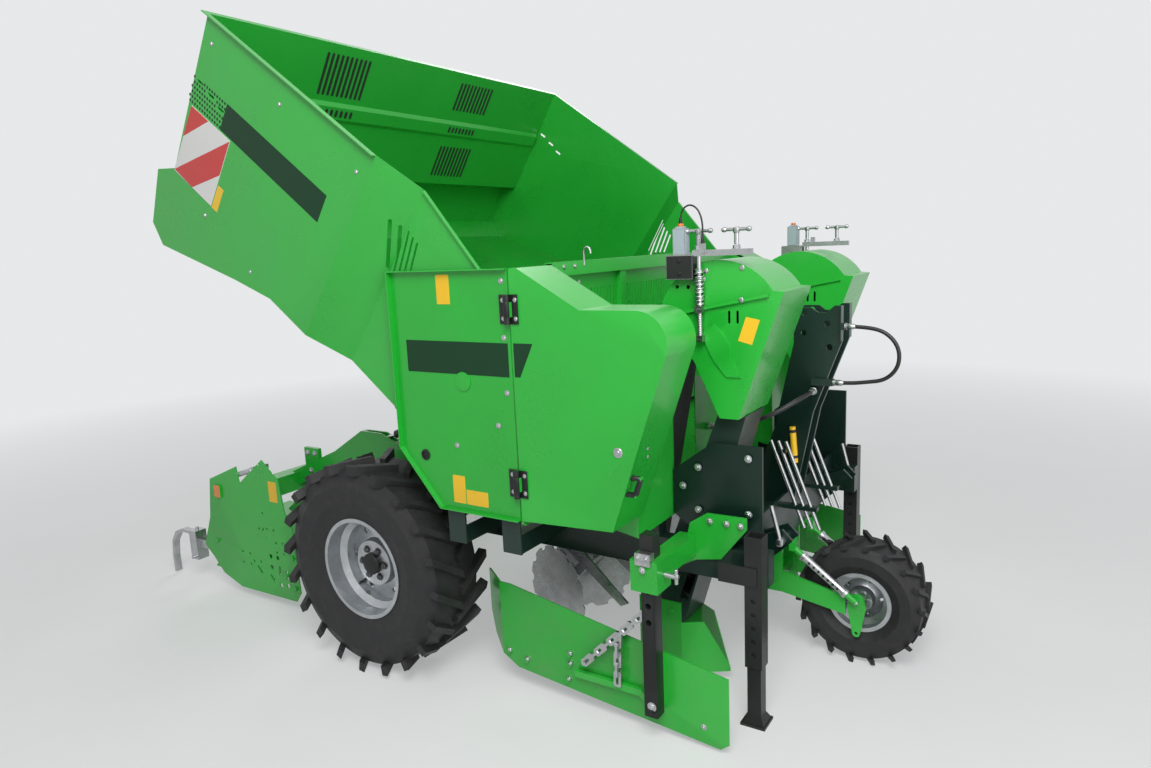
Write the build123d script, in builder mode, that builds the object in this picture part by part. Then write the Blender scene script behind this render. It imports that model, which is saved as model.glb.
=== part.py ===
from build123d import *
from math import asin, atan2, cos, degrees, hypot, pi, radians, sin, sqrt, tan
import os

os.makedirs("parts", exist_ok=True)

# Two-row trailed potato planter with its hopper tipped up.
# +X is the machine's right, +Y is forwards to the tractor, +Z is up, and the ground is Z = 0.
# Places along the machine are counted forwards from the rear axle and shifted by axle_y,
# so that the origin is under the middle of the whole machine.

# Driving dimensions
row_spacing = 900.0
row_x = row_spacing / 2
wheel_track = 1902.0
rear_wheel_x = wheel_track / 2
sheet = 4.0
overrun = 40.0
running_gap = 0.05
seat_gap = 0.3
flange = 20.0
bolt_r = 11.0
bolt_h = 9.0
hole_r = 7.0

# Rear wheels
rear_tyre_d = 889.0
rear_tyre_w = 300.0
rear_rim_r = 200.0
rear_rim_w = 246.0
rear_hub_r = 95.0
rear_disc_x = 20.0
rear_lug_h = 28.0
rear_lug_count = 20
axle_z = rear_tyre_d / 2

# Front depth wheel
front_tyre_d = 500.0
front_tyre_w = 190.0
front_rim_r = 110.0
front_rim_w = 140.0
front_hub_r = 45.0
front_disc_x = 15.0
front_lug_h = 15.0
front_lug_count = 18
front_wheel_fwd = 1733.0
front_wheel_z = front_tyre_d / 2

# Reach of the machine from the rear axle, out to the wheel-mark tines behind the ridger
hood_rear_fwd = -1440.0
tine_reach = 330.0
rear_reach = tine_reach - hood_rear_fwd
front_reach = front_wheel_fwd + front_tyre_d / 2
axle_y = (rear_reach - front_reach) / 2


def along(forward):
    return axle_y + forward


def outline_at(points):
    return [(along(forward), height) for forward, height in points]


def spread(shares, fwd_low, fwd_high, z_low, z_high):
    """Turn an outline's shares into places between two forward places and two heights."""
    fwd_span = fwd_high - fwd_low
    z_span = z_high - z_low
    return [(fwd_low + a * fwd_span, z_low + b * z_span) for a, b in shares]


def save(piece, name):
    piece.part.label = name
    export_step(piece.part, f"parts/{name}.step")


def save_pair(piece, name):
    save(piece, name + "_right")
    with BuildPart() as twin:
        mirror(piece.part, about=Plane.YZ)
    save(twin, name + "_left")


def side_prism(x_low, x_high, points, mode=Mode.ADD):
    with BuildSketch(Plane.YZ.offset(x_low)) as face:
        with BuildLine():
            Polyline(*outline_at(points), close=True)
        make_face()
    extrude(face.sketch, amount=x_high - x_low, mode=mode)


def block(x_low, x_high, fwd_low, fwd_high, z_low, z_high, mode=Mode.ADD):
    centre = ((x_low + x_high) / 2, along((fwd_low + fwd_high) / 2), (z_low + z_high) / 2)
    with Locations(centre):
        Box(x_high - x_low, fwd_high - fwd_low, z_high - z_low, mode=mode)


def cross_pin(x_low, x_high, fwd, height, radius, mode=Mode.ADD):
    with BuildSketch(Plane.YZ.offset(x_low)) as face:
        with Locations((along(fwd), height)):
            Circle(radius)
    extrude(face.sketch, amount=x_high - x_low, mode=mode)


def cross_slot(x_low, x_high, fwd, height, length, radius, lean, mode=Mode.SUBTRACT):
    with BuildSketch(Plane.YZ.offset(x_low)) as face:
        with Locations((along(fwd), height)):
            SlotOverall(length, 2 * radius, rotation=lean)
    extrude(face.sketch, amount=x_high - x_low, mode=mode)


def upright_pin(x, fwd, z_low, z_high, radius, mode=Mode.ADD):
    with BuildSketch(Plane.XY.offset(z_low)) as face:
        with Locations((x, along(fwd))):
            Circle(radius)
    extrude(face.sketch, amount=z_high - z_low, mode=mode)


def rod(start, end, radius, mode=Mode.ADD):
    """A round bar between two places, each given as x, forward and height."""
    low = Vector(start[0], along(start[1]), start[2])
    reach = Vector(end[0], along(end[1]), end[2]) - low
    with BuildSketch(Plane(origin=low, z_dir=reach.normalized())) as face:
        Circle(radius)
    extrude(face.sketch, amount=reach.length, mode=mode)


def both_sides(make, near, far, *sizes, **options):
    """Make the same thing between two distances on each side of the middle."""
    for side in (-1, 1):
        low, high = sorted((side * near, side * far))
        make(low, high, *sizes, **options)


# Frame: two rails on the axle beam, a front cross tube and two outrigger tubes
beam_s = 110.0
beam_half = 700.0
rail_x = 600.0
rail_w = 60.0
rail_h = 120.0
rail_low = axle_z + beam_s / 2
rail_top = rail_low + rail_h
rail_in = rail_x - rail_w / 2
rail_out = rail_x + rail_w / 2
rail_rear_fwd = -130.0
rail_front_fwd = 1555.0
toolbar_s = 120.0
toolbar_fwd = 1400.0
toolbar_rear_fwd = toolbar_fwd - toolbar_s / 2
toolbar_front_fwd = toolbar_fwd + toolbar_s / 2
spindle_r = 30.0
spindle_end = 1015.0
outrigger_s = 70.0
outrigger_low = 640.0
outrigger_top = outrigger_low + outrigger_s
outrigger_fwds = (520.0, 770.0)
panel_out = 1055.0
panel_in = panel_out - sheet
end_plate_t = 8.0
end_plate_top = 860.0
end_plate_half = 40.0

# Feed floor and trough, which also shape the gussets that carry them
floor_rear_fwd = 560.0
floor_rear_z = 805.0
bulkhead_fwd = 828.0
floor_mid_z = 750.0
trough_front_fwd = 1165.0
trough_front_z = 690.0
trough_half = 841.0
gusset_half = 30.0
gusset_fwd = trough_front_fwd - 2 * gusset_half


def floor_height(forward):
    if forward < bulkhead_fwd:
        share = (forward - floor_rear_fwd) / (bulkhead_fwd - floor_rear_fwd)
        return floor_rear_z + share * (floor_mid_z - floor_rear_z)
    share = (forward - bulkhead_fwd) / (trough_front_fwd - bulkhead_fwd)
    return floor_mid_z + share * (trough_front_z - floor_mid_z)


# Ridger pivot and lift cylinders
ridger_pivot_fwd = -60.0
ridger_pivot_z = 790.0
ridger_pin_r = 18.0
ridger_arm_w = 40.0
ridger_arm_gap = 8.0
ridger_arm_x = rail_out + ridger_arm_gap + ridger_arm_w / 2
lift_eye_fwd = 20.0
lift_eye_z = 965.0
lift_tower_fwd = -300.0
lift_tower_z = 850.0
lift_pin_r = 10.0
lift_eye_w = 18.0
lift_tower_pin_r = 6.0
lift_slack = 4.0
lift_barrel_r = 18.0
lift_rod_r = 7.5
lift_ring_t = 8.0
lug_r = 20.0
pin_proud = 5.0

# Tipping cylinders
tip_base_fwd = 250.0
tip_base_z = 560.0
tip_x = 735.0
tip_pin_r = 20.0
tip_barrel_r = 38.0
tip_rod_r = 18.0
tip_eye_w = 40.0


def gusset(fwd, base):
    rear, front = fwd - gusset_half, fwd + gusset_half
    return [(rear, base), (front, base), (front, floor_height(front)), (rear, floor_height(rear))]


with BuildPart() as main_frame:
    both_sides(block, rail_in, rail_out, rail_rear_fwd, rail_front_fwd, rail_low, rail_top)
    block(-beam_half, beam_half, -beam_s / 2, beam_s / 2, rail_low - beam_s, rail_low)
    block(-rail_in, rail_in, toolbar_rear_fwd, toolbar_front_fwd, rail_low, rail_top)
    cross_pin(-spindle_end, spindle_end, 0, axle_z, spindle_r)
    for fwd in outrigger_fwds:
        rear, front = fwd - outrigger_s / 2, fwd + outrigger_s / 2
        block(end_plate_t - panel_in, panel_in - end_plate_t, rear, front, outrigger_low, outrigger_top)
        both_sides(block, rail_in, rail_out, rear, front, rail_top, outrigger_low)
        both_sides(block, panel_in - end_plate_t, panel_in, fwd - end_plate_half,
                   fwd + end_plate_half, outrigger_low, end_plate_top)
        both_sides(cross_pin, panel_in - end_plate_t - bolt_h, panel_in - end_plate_t, fwd,
                   (outrigger_top + end_plate_top) / 2, bolt_r)
    # Towers for the ridger's pivot and its lift cylinders
    tower_points = [(rail_rear_fwd, rail_top), (lift_eye_fwd + lug_r, rail_top),
                    (lift_eye_fwd + lug_r, lift_eye_z + lug_r),
                    (lift_eye_fwd - lug_r, lift_eye_z + lug_r),
                    (ridger_pivot_fwd - lug_r, ridger_pivot_z + 2 * lug_r),
                    (ridger_pivot_fwd - 2 * lug_r, ridger_pivot_z)]
    both_sides(side_prism, rail_in, rail_out, tower_points)
    arm_end = ridger_arm_x + ridger_arm_w / 2 + pin_proud
    both_sides(cross_pin, rail_x, arm_end, ridger_pivot_fwd, ridger_pivot_z, ridger_pin_r)
    both_sides(cross_pin, rail_x, arm_end, lift_eye_fwd, lift_eye_z, lift_pin_r)
    # Trunnions of the tipping cylinders
    both_sides(cross_pin, rail_x, tip_x + tip_eye_w / 2 + pin_proud, tip_base_fwd, tip_base_z, tip_pin_r)
    # Gussets under the feed floor
    both_sides(side_prism, rail_in, rail_out, gusset(outrigger_fwds[1], outrigger_top))
    both_sides(side_prism, rail_in, rail_out, gusset(gusset_fwd, rail_top))
save(main_frame, "main_frame")

# Headstock: side plates, a mast for the top link, ears for the lower links and hydraulic pipes
head_side_t = 12.0
head_rear_fwd = 1172.0
head_front_fwd = 1513.0
head_low_z = 560.0
head_top_z = 985.0
head_side_shares = [(0, 0.33), (0, 0.73), (0.46, 1), (1, 1), (1, 0), (0.87, 0)]
head_bolt_shares = [(0.12, 0.6), (0.3, 0.78), (0.86, 0.9), (0.3, 0.4), (0.86, 0.42)]
apron_h = 70.0
link_x = 425.0
link_gap = 58.0
link_ear_t = 14.0
link_fwd = 1550.0
link_z = 621.0
link_pin_r = 14.3
link_handle_r = 7.0
link_handle_h = 130.0
link_pin_spare = 34.0
ear_r = 38.0
mast_half_gap = 45.0
mast_t = 16.0
mast_rear_fwd = 1462.0
mast_front_fwd = 1650.0
mast_top_z = 1434.0
mast_waist_z = 1165.0
mast_foot_z = 1010.0
mast_lip_w = 20.0
top_link_fwd = 1592.0
top_link_z = 1365.0
top_link_r = 12.8
mast_wave_shares = [(0, 0.97), (0.36, 0.97), (0.5, 0.9), (0.68, 0.9), (0.84, 1), (1, 1)]
mast_hole_shares = [(0.22, 0.9), (0.2, 0.6), (0.74, 0.4)]
pipe_r = 6.0
pipe_x = 150.0
pipe_pitch = 30.0
pipe_count = 3
pipe_top = (1400.0, 905.0)
pipe_foot = (1535.0, 560.0)
clip_h = 16.0

# Places where the hoses leave the mast, as x, forward and height
loop_hose_d = 15.0
loop_start = (71.0, 1662.0, 1356.0)
loop_end = (76.0, 1622.0, 1138.0)
bundle_d = 18.0
bundle_start = (73.0, 1545.0, 1100.0)
bundle_end = (250.0, 1177.0, 965.0)
gland_half = 13.0

with BuildPart() as headstock:
    both_sides(side_prism, rail_in - head_side_t, rail_in,
               [*spread(head_side_shares, head_rear_fwd, head_front_fwd, head_low_z, head_top_z),
                (toolbar_front_fwd + pin_proud, rail_top), (toolbar_rear_fwd - overrun, rail_top)])
    for fwd, height in spread(head_bolt_shares, head_rear_fwd, head_front_fwd, head_low_z, head_top_z):
        both_sides(cross_pin, rail_in, rail_in + bolt_h, fwd, height, bolt_r)
    block(head_side_t - rail_in, rail_in - head_side_t, toolbar_front_fwd - head_side_t,
          toolbar_front_fwd, rail_top, rail_top + apron_h)
    # Mast plates with a wavy head, a folded front edge and a line of spare holes
    mast_points = [(toolbar_rear_fwd, rail_top), (toolbar_front_fwd, rail_top),
                   (toolbar_front_fwd + 2 * overrun, mast_foot_z),
                   (mast_front_fwd, (mast_waist_z + mast_top_z) / 2),
                   *reversed(spread(mast_wave_shares, mast_rear_fwd, mast_front_fwd,
                                    mast_waist_z, mast_top_z)),
                   (mast_rear_fwd, mast_waist_z + 3 * overrun), (toolbar_fwd, mast_foot_z)]
    both_sides(side_prism, mast_half_gap, mast_half_gap + mast_t, mast_points)
    both_sides(block, mast_half_gap + mast_t, mast_half_gap + mast_t + mast_lip_w,
               mast_front_fwd - sheet, mast_front_fwd, (mast_waist_z + mast_top_z) / 2, mast_top_z)
    mast_reach = mast_half_gap + mast_t + overrun
    for fwd, height in spread(mast_hole_shares, mast_rear_fwd, mast_front_fwd, mast_waist_z, mast_top_z):
        cross_pin(-mast_reach, mast_reach, fwd, height, top_link_r, mode=Mode.SUBTRACT)
    cross_pin(-mast_reach, mast_reach, top_link_fwd, top_link_z, top_link_r, mode=Mode.SUBTRACT)
    for side in (-1, 1):
        for ear in (-1, 1):
            inner = side * link_x + ear * link_gap / 2
            low, high = sorted((inner, inner + ear * link_ear_t))
            side_prism(low, high, [(toolbar_front_fwd, rail_low), (toolbar_front_fwd, rail_top),
                                   (link_fwd, link_z + ear_r), (link_fwd + ear_r, link_z),
                                   (link_fwd, link_z - ear_r)])
        pin_inner = side * (link_x - link_gap / 2 - link_ear_t - sheet)
        pin_outer = side * (link_x + link_gap / 2 + link_ear_t + link_pin_spare)
        cross_pin(*sorted((pin_inner, pin_outer)), link_fwd, link_z, link_pin_r)
        handle_x = pin_outer - side * 2 * link_handle_r
        rod((handle_x, link_fwd, link_z), (handle_x, link_fwd - link_pin_spare, link_z + link_handle_h),
            link_handle_r)
        # Three slanted pipes held by a clip on the mast and a clip on the apron
        for index in range(pipe_count):
            shift = index * pipe_pitch
            rod((side * pipe_x, pipe_top[0] + shift, pipe_top[1]),
                (side * pipe_x, pipe_foot[0] + shift, pipe_foot[1]), pipe_r)
    both_sides(block, mast_half_gap + mast_t, pipe_x + pipe_r, toolbar_fwd + pipe_pitch,
               toolbar_fwd + 2 * pipe_pitch, pipe_top[1] - 3 * clip_h, pipe_top[1] - 2 * clip_h)
    both_sides(block, pipe_x - clip_h, pipe_x + clip_h, toolbar_front_fwd, link_fwd + ear_r,
               rail_top + clip_h, rail_top + 2 * clip_h)
    # Glands of the hoses
    mast_side = mast_half_gap + mast_t
    block(mast_side, mast_side + mast_lip_w, mast_front_fwd, loop_start[1],
          loop_start[2] - gland_half, loop_start[2] + gland_half)
    block(mast_side, loop_end[0] + gland_half, toolbar_front_fwd + 2 * overrun, loop_end[1],
          loop_end[2] - gland_half, loop_end[2] + gland_half)
    block(mast_side, bundle_start[0], bundle_start[1] - gland_half, bundle_start[1] + gland_half,
          bundle_start[2] - gland_half, bundle_start[2] + gland_half)
save(headstock, "headstock")

# Side panels with outward flanges, a wheel arch and the hopper's hinge pins
panel_rear_fwd = 281.0
panel_seam_fwd = 818.0
panel_top_z = 1640.0
panel_low_z = 770.0
arch_top_z = 984.0
arch_front_fwd = 465.0
hinge_fwd = 600.0
hinge_z = 1250.0
hinge_pin_r = 25.0
hinge_pin_in = 1000.0

with BuildPart() as panel:
    side_prism(panel_in, panel_out + flange,
               [(panel_rear_fwd, panel_top_z), (panel_rear_fwd, arch_top_z),
                (arch_front_fwd, panel_low_z), (panel_seam_fwd, panel_low_z),
                (panel_seam_fwd, panel_top_z)])
    side_prism(panel_out, panel_out + flange + overrun,
               [(panel_rear_fwd + sheet, panel_top_z - sheet), (panel_rear_fwd + sheet, arch_top_z),
                (arch_front_fwd + sheet, panel_low_z + sheet),
                (panel_seam_fwd + overrun, panel_low_z + sheet),
                (panel_seam_fwd + overrun, panel_top_z - sheet)], mode=Mode.SUBTRACT)
    cross_pin(hinge_pin_in, panel_in, hinge_fwd, hinge_z, hinge_pin_r)
    cross_pin(panel_out, panel_out + sheet, hinge_fwd, hinge_z, hinge_pin_r + bolt_h)
save_pair(panel, "panel")

# Doors: a cover box with an open bottom and back, hinged at the seam
seam_gap = 6.0
door_rear_fwd = panel_seam_fwd + seam_gap
door_slope_fwd = 857.0
door_flat_fwd = 1093.0
door_flat_z = 1504.0
door_nose_fwd = 1440.0
door_toe_fwd = 1188.0
door_low_z = 788.0
door_nose_r = 105.0
door_in = 847.0
hinge_axis_x = panel_out + 16.0
hinge_axis_fwd = panel_seam_fwd + seam_gap / 2
door_hinge_zs = (1505.0, 905.0)
door_hinge_h = 98.0
door_hinge_leaf = 36.0
door_pin_r = 6.0
knuckle_r = 11.0
handle_z = 946.0
handle_x = 1030.0
handle_w = 14.0
handle_half = 34.0
handle_reach = 38.0
handle_bar = 12.0
door_front_share = (handle_z - door_low_z) / (door_flat_z - door_low_z)
handle_fwd = door_toe_fwd + door_front_share * (door_nose_fwd - door_toe_fwd)
door_front_slope = (door_nose_fwd - door_toe_fwd) / (door_flat_z - door_low_z)


def door_face(start_x, inset):
    with BuildSketch(Plane.YZ.offset(start_x)) as face:
        with BuildLine():
            Polyline(*outline_at([(door_rear_fwd, panel_low_z), (door_rear_fwd, panel_top_z),
                                  (door_slope_fwd, panel_top_z), (door_flat_fwd, door_flat_z),
                                  (door_nose_fwd, door_flat_z), (door_toe_fwd, door_low_z)]),
                     close=True)
        make_face()
        nose = face.vertices().sort_by(Axis.X)[-1:]
        fillet(nose, door_nose_r)
        if inset:
            offset(amount=-inset, kind=Kind.INTERSECTION, mode=Mode.REPLACE)
    return face.sketch


def handle_point(rise, reach):
    return handle_fwd + rise * door_front_slope + reach, handle_z + rise


with BuildPart() as door:
    extrude(door_face(door_in, 0), amount=panel_out - door_in)
    extrude(door_face(door_in - overrun, sheet), amount=panel_in - door_in + overrun,
            mode=Mode.SUBTRACT)
    block(door_in - overrun, panel_in, door_rear_fwd - overrun, door_rear_fwd + 4 * sheet,
          panel_low_z - overrun, panel_top_z - sheet, mode=Mode.SUBTRACT)
    block(door_in - overrun, panel_in, door_rear_fwd - overrun, door_toe_fwd - sheet,
          panel_low_z - overrun, door_low_z + sheet, mode=Mode.SUBTRACT)
    for height in door_hinge_zs:
        low, high = height - door_hinge_h / 2, height + door_hinge_h / 2
        block(panel_out, panel_out + sheet, door_rear_fwd, door_rear_fwd + door_hinge_leaf, low, high)
        block(panel_out + sheet, hinge_axis_x, door_rear_fwd, door_rear_fwd + knuckle_r,
              height - door_hinge_h / 4, height + door_hinge_h / 4)
        upright_pin(hinge_axis_x, hinge_axis_fwd, height - door_hinge_h / 4,
                    height + door_hinge_h / 4, knuckle_r)
        upright_pin(hinge_axis_x, hinge_axis_fwd, low, high, door_pin_r + running_gap,
                    mode=Mode.SUBTRACT)
    # Pull handle on the front face
    side_prism(handle_x, handle_x + handle_w,
               [handle_point(-handle_half, 0), handle_point(-handle_half, handle_reach),
                handle_point(handle_half, handle_reach), handle_point(handle_half, 0),
                handle_point(handle_half - handle_bar, 0),
                handle_point(handle_half - handle_bar, handle_reach - handle_bar),
                handle_point(handle_bar - handle_half, handle_reach - handle_bar),
                handle_point(handle_bar - handle_half, 0)])
save_pair(door, "door")

with BuildPart() as door_hinges:
    for height in door_hinge_zs:
        low, high = height - door_hinge_h / 2, height + door_hinge_h / 2
        block(panel_out, panel_out + sheet, panel_seam_fwd - door_hinge_leaf, panel_seam_fwd, low, high)
        for z_low, z_high in ((low, height - door_hinge_h / 4 - seat_gap),
                              (height + door_hinge_h / 4 + seat_gap, high)):
            block(panel_out + sheet, hinge_axis_x, panel_seam_fwd - knuckle_r, panel_seam_fwd,
                  z_low, z_high)
            upright_pin(hinge_axis_x, hinge_axis_fwd, z_low, z_high, knuckle_r)
        upright_pin(hinge_axis_x, hinge_axis_fwd, low, high, door_pin_r)
save_pair(door_hinges, "door_hinges")

# Bulkhead across the front of the hopper bay: a lipped sheet, posts and a comb that holds the crop back
bulkhead_top_z = 1648.0
bulkhead_edge_z = 1540.0
comb_low_z = 1435.0
comb_pitch = 24.0
comb_gap = 9.0
post_t = 44.0
post_spread = 322.0
lip_drop = 50.0
comb_count = int(2 * (trough_half - post_t) / comb_pitch)

with BuildPart() as bulkhead:
    block(-panel_in, panel_in, bulkhead_fwd - sheet, bulkhead_fwd, floor_mid_z + 2 * sheet,
          panel_top_z - sheet)
    block(-trough_half, trough_half, bulkhead_fwd - sheet, bulkhead_fwd, panel_top_z - 2 * sheet,
          bulkhead_top_z)
    block(-trough_half, trough_half, bulkhead_fwd - sheet - overrun, bulkhead_fwd + overrun,
          floor_mid_z - overrun, comb_low_z, mode=Mode.SUBTRACT)
    for index in range(comb_count):
        slit_x = (index - (comb_count - 1) / 2) * comb_pitch
        if abs(abs(slit_x) - post_spread) > post_t / 2 + comb_gap:
            block(slit_x - comb_gap / 2, slit_x + comb_gap / 2, bulkhead_fwd - sheet - overrun,
                  bulkhead_fwd + overrun, comb_low_z - overrun, bulkhead_edge_z, mode=Mode.SUBTRACT)
    block(-trough_half, trough_half, bulkhead_fwd, bulkhead_fwd + flange,
          bulkhead_top_z - sheet, bulkhead_top_z)
    lip_half = trough_half - 2 * sheet
    block(-lip_half, lip_half, bulkhead_fwd + flange, bulkhead_fwd + flange + sheet,
          bulkhead_top_z - lip_drop, bulkhead_top_z)
    both_sides(block, post_spread - post_t / 2, post_spread + post_t / 2, bulkhead_fwd,
               bulkhead_fwd + flange, comb_low_z, bulkhead_top_z - sheet)
save(bulkhead, "bulkhead")

# Trough between the bulkhead and the cup belts, with cheeks inside the doors
trough_wall_z = 1180.0
belt_half = 75.0
outlet_half = belt_half + 25.0
outlet_rear_fwd = 1020.0
cheek_drop = 14.0

with BuildPart() as trough:
    side_prism(end_plate_t - panel_in, panel_in - end_plate_t,
               [(floor_rear_fwd, floor_rear_z), (bulkhead_fwd, floor_mid_z),
                (bulkhead_fwd, floor_mid_z + sheet), (floor_rear_fwd, floor_rear_z + sheet)])
    side_prism(-trough_half, trough_half,
               [(bulkhead_fwd, floor_mid_z), (trough_front_fwd, trough_front_z),
                (trough_front_fwd, trough_front_z + sheet), (bulkhead_fwd, floor_mid_z + sheet)])
    both_sides(side_prism, trough_half - sheet, trough_half,
               [(bulkhead_fwd, floor_mid_z), (bulkhead_fwd, panel_top_z - cheek_drop),
                (door_slope_fwd, panel_top_z - cheek_drop),
                (door_flat_fwd, door_flat_z - cheek_drop),
                (trough_front_fwd, door_flat_z - cheek_drop), (trough_front_fwd, trough_front_z)])
    block(-trough_half, trough_half, trough_front_fwd - sheet, trough_front_fwd, trough_front_z,
          trough_wall_z)
    for centre in (-row_x, row_x):
        block(centre - outlet_half, centre + outlet_half, outlet_rear_fwd,
              trough_front_fwd + overrun, trough_front_z - overrun, trough_wall_z + overrun,
              mode=Mode.SUBTRACT)
    both_sides(block, trough_half - flange, trough_half - sheet, bulkhead_fwd + flange + 2 * sheet,
               bulkhead_fwd + flange + 3 * sheet, trough_wall_z, bulkhead_edge_z)
    block(bundle_end[0] - gland_half, bundle_end[0] + gland_half, trough_front_fwd, bundle_end[1],
          bundle_end[2] - gland_half, bundle_end[2] + gland_half)
save(trough, "trough")

# Hopper, in its own tipped frame: u runs forwards along the rim, v stands square to it
hopper_tilt = 36.1
rim_rear_fwd = -436.0
rim_rear_z = 2631.0
hopper_wide_half = 1175.0
hopper_narrow_half = 1030.0
rim_flange = 18.0
narrow_flange = 12.0
hopper_side = Plane(origin=(0, along(rim_rear_fwd), rim_rear_z), z_dir=(1, 0, 0),
                    x_dir=(0, cos(radians(hopper_tilt)), -sin(radians(hopper_tilt))))
wide_end_u = 1018.0
wide_floor_u = 784.0
wide_floor_v = -766.0
narrow_start_u = 1148.0
narrow_rim_v = -50.0
narrow_floor_v = -812.0
narrow_rim_end_u = 1660.0
narrow_rim_end_v = -184.0
narrow_floor_end_u = 1890.0
narrow_floor_end_v = -840.0
band_u = 45.0
band_v = -637.0
step_u = -58.0
step_v = -704.0
heel_u = -4.0
heel_v = -930.0
sump_u = 98.0
sump_v = -979.0
rise_u = 574.0
rise_v = -825.0
rib_out = 14.0
rib_w = 70.0
rib_vs = (-250.0, -480.0)
slit_count = 5
slit_start_u = 1120.0
slit_start_v = -290.0
slit_pitch = 27.0
slit_len = 190.0
slit_r = 5.0
slit_lean = -78.0
level_slots = ((60.0, -250.0), (140.0, -263.0), (215.0, -280.0))
level_slot_len = 42.0
hopper_wall_points = [(0, 0), (band_u, band_v), (step_u, step_v), (heel_u, heel_v), (sump_u, sump_v),
                      (rise_u, rise_v), (wide_floor_u, wide_floor_v), (wide_end_u, wide_floor_v),
                      (wide_end_u, 0)]
hopper_room_points = [(sheet, overrun), (band_u + sheet, band_v), (step_u + sheet, step_v - sheet),
                      (heel_u + sheet, heel_v + sheet), (sump_u, sump_v + sheet),
                      (rise_u, rise_v + sheet), (wide_floor_u, wide_floor_v + sheet),
                      (wide_end_u, wide_floor_v + sheet), (wide_end_u, overrun)]


def hopper_prism(points, half_width, mode=Mode.ADD):
    with BuildSketch(hopper_side) as face:
        with BuildLine():
            Polyline(*points, close=True)
        make_face()
    extrude(face.sketch, amount=half_width, both=True, mode=mode)


def hopper_section(u, half_width, v_low, v_high):
    place = hopper_side.from_local_coords((u, (v_low + v_high) / 2, 0))
    section = Plane(origin=place, x_dir=(1, 0, 0), z_dir=hopper_side.x_dir)
    with BuildSketch(section) as face:
        Rectangle(2 * half_width, v_high - v_low)
    return face.sketch


def hopper_slots(places, length, lean, half_width):
    with BuildSketch(hopper_side) as face:
        with Locations(*places):
            SlotOverall(length, 2 * slit_r, rotation=lean)
    extrude(face.sketch, amount=half_width, both=True, mode=Mode.SUBTRACT)


with BuildPart() as hopper:
    hopper_prism(hopper_wall_points, hopper_wide_half)
    loft([hopper_section(wide_end_u, hopper_wide_half, wide_floor_v, 0),
          hopper_section(narrow_start_u, hopper_narrow_half, narrow_floor_v, narrow_rim_v)])
    hopper_prism([(narrow_start_u, narrow_rim_v), (narrow_start_u, narrow_floor_v),
                  (narrow_floor_end_u, narrow_floor_end_v), (narrow_rim_end_u, narrow_rim_end_v)],
                 hopper_narrow_half)
    # Stiffening ribs folded across the rear wall
    for rib_v in rib_vs:
        wall_u = band_u * rib_v / band_v
        hopper_prism([(wall_u, rib_v + rib_w / 2), (wall_u - rib_out, rib_v + rib_w / 4),
                      (wall_u - rib_out, rib_v - rib_w / 4), (wall_u + rib_out / 2, rib_v - rib_w / 2)],
                     hopper_wide_half - rib_w)
    # Rim flanges outside the wide part and the narrow part
    hopper_prism([(-rim_flange, -sheet), (wide_end_u, -sheet), (wide_end_u, 0), (-rim_flange, 0)],
                 hopper_wide_half + rim_flange)
    hopper_prism([(narrow_start_u, narrow_rim_v - sheet), (narrow_rim_end_u, narrow_rim_end_v - sheet),
                  (narrow_rim_end_u, narrow_rim_end_v), (narrow_start_u, narrow_rim_v)],
                 hopper_narrow_half + narrow_flange)
    # Open inside of the sheet walls
    hopper_prism(hopper_room_points, hopper_wide_half - sheet, mode=Mode.SUBTRACT)
    loft([hopper_section(wide_end_u, hopper_wide_half - sheet, wide_floor_v + sheet, overrun),
          hopper_section(narrow_start_u, hopper_narrow_half - sheet, narrow_floor_v + sheet,
                         narrow_rim_v + overrun)], mode=Mode.SUBTRACT)
    end_slope = (narrow_floor_end_v - narrow_floor_v) / (narrow_floor_end_u - narrow_start_u)
    hopper_prism([(narrow_start_u, narrow_rim_v + overrun), (narrow_start_u, narrow_floor_v + sheet),
                  (narrow_floor_end_u + overrun, narrow_floor_end_v + sheet + overrun * end_slope),
                  (narrow_rim_end_u + 2 * overrun, narrow_rim_end_v + overrun)],
                 hopper_narrow_half - sheet, mode=Mode.SUBTRACT)
    # Grille slits near the front of the side walls and sight slots near the rear
    slit_places = [(slit_start_u + index * slit_pitch, slit_start_v - index * slit_pitch / 4)
                   for index in range(slit_count)]
    hopper_slots(slit_places, slit_len, slit_lean, hopper_wide_half + overrun)
    hopper_slots(level_slots, level_slot_len, 0, hopper_wide_half + overrun)
    # Pivot bosses on the narrow part's sides
    boss_r = 2 * hinge_pin_r + flange / 2
    both_sides(cross_pin, hopper_narrow_half - flange, hopper_narrow_half, hinge_fwd, hinge_z, boss_r)
    both_sides(cross_pin, hopper_narrow_half - flange - overrun, hopper_narrow_half + overrun,
               hinge_fwd, hinge_z, hinge_pin_r + running_gap, mode=Mode.SUBTRACT)
save(hopper, "hopper_shell")

# Lugs where the tipping cylinders meet the hopper floor
tip_lug_u = 870.0
tip_lug_drop = 60.0
tip_lug_t = 10.0
tip_lug_root = 70.0
tip_lug_tip = 28.0
tip_lug_past = 24.0
tip_hopper_pin_r = 12.0
tip_lug_place = hopper_side.from_local_coords((tip_lug_u, wide_floor_v - tip_lug_drop, 0))
tip_lug_fwd = tip_lug_place.Y - axle_y
tip_lug_z = tip_lug_place.Z

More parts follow.
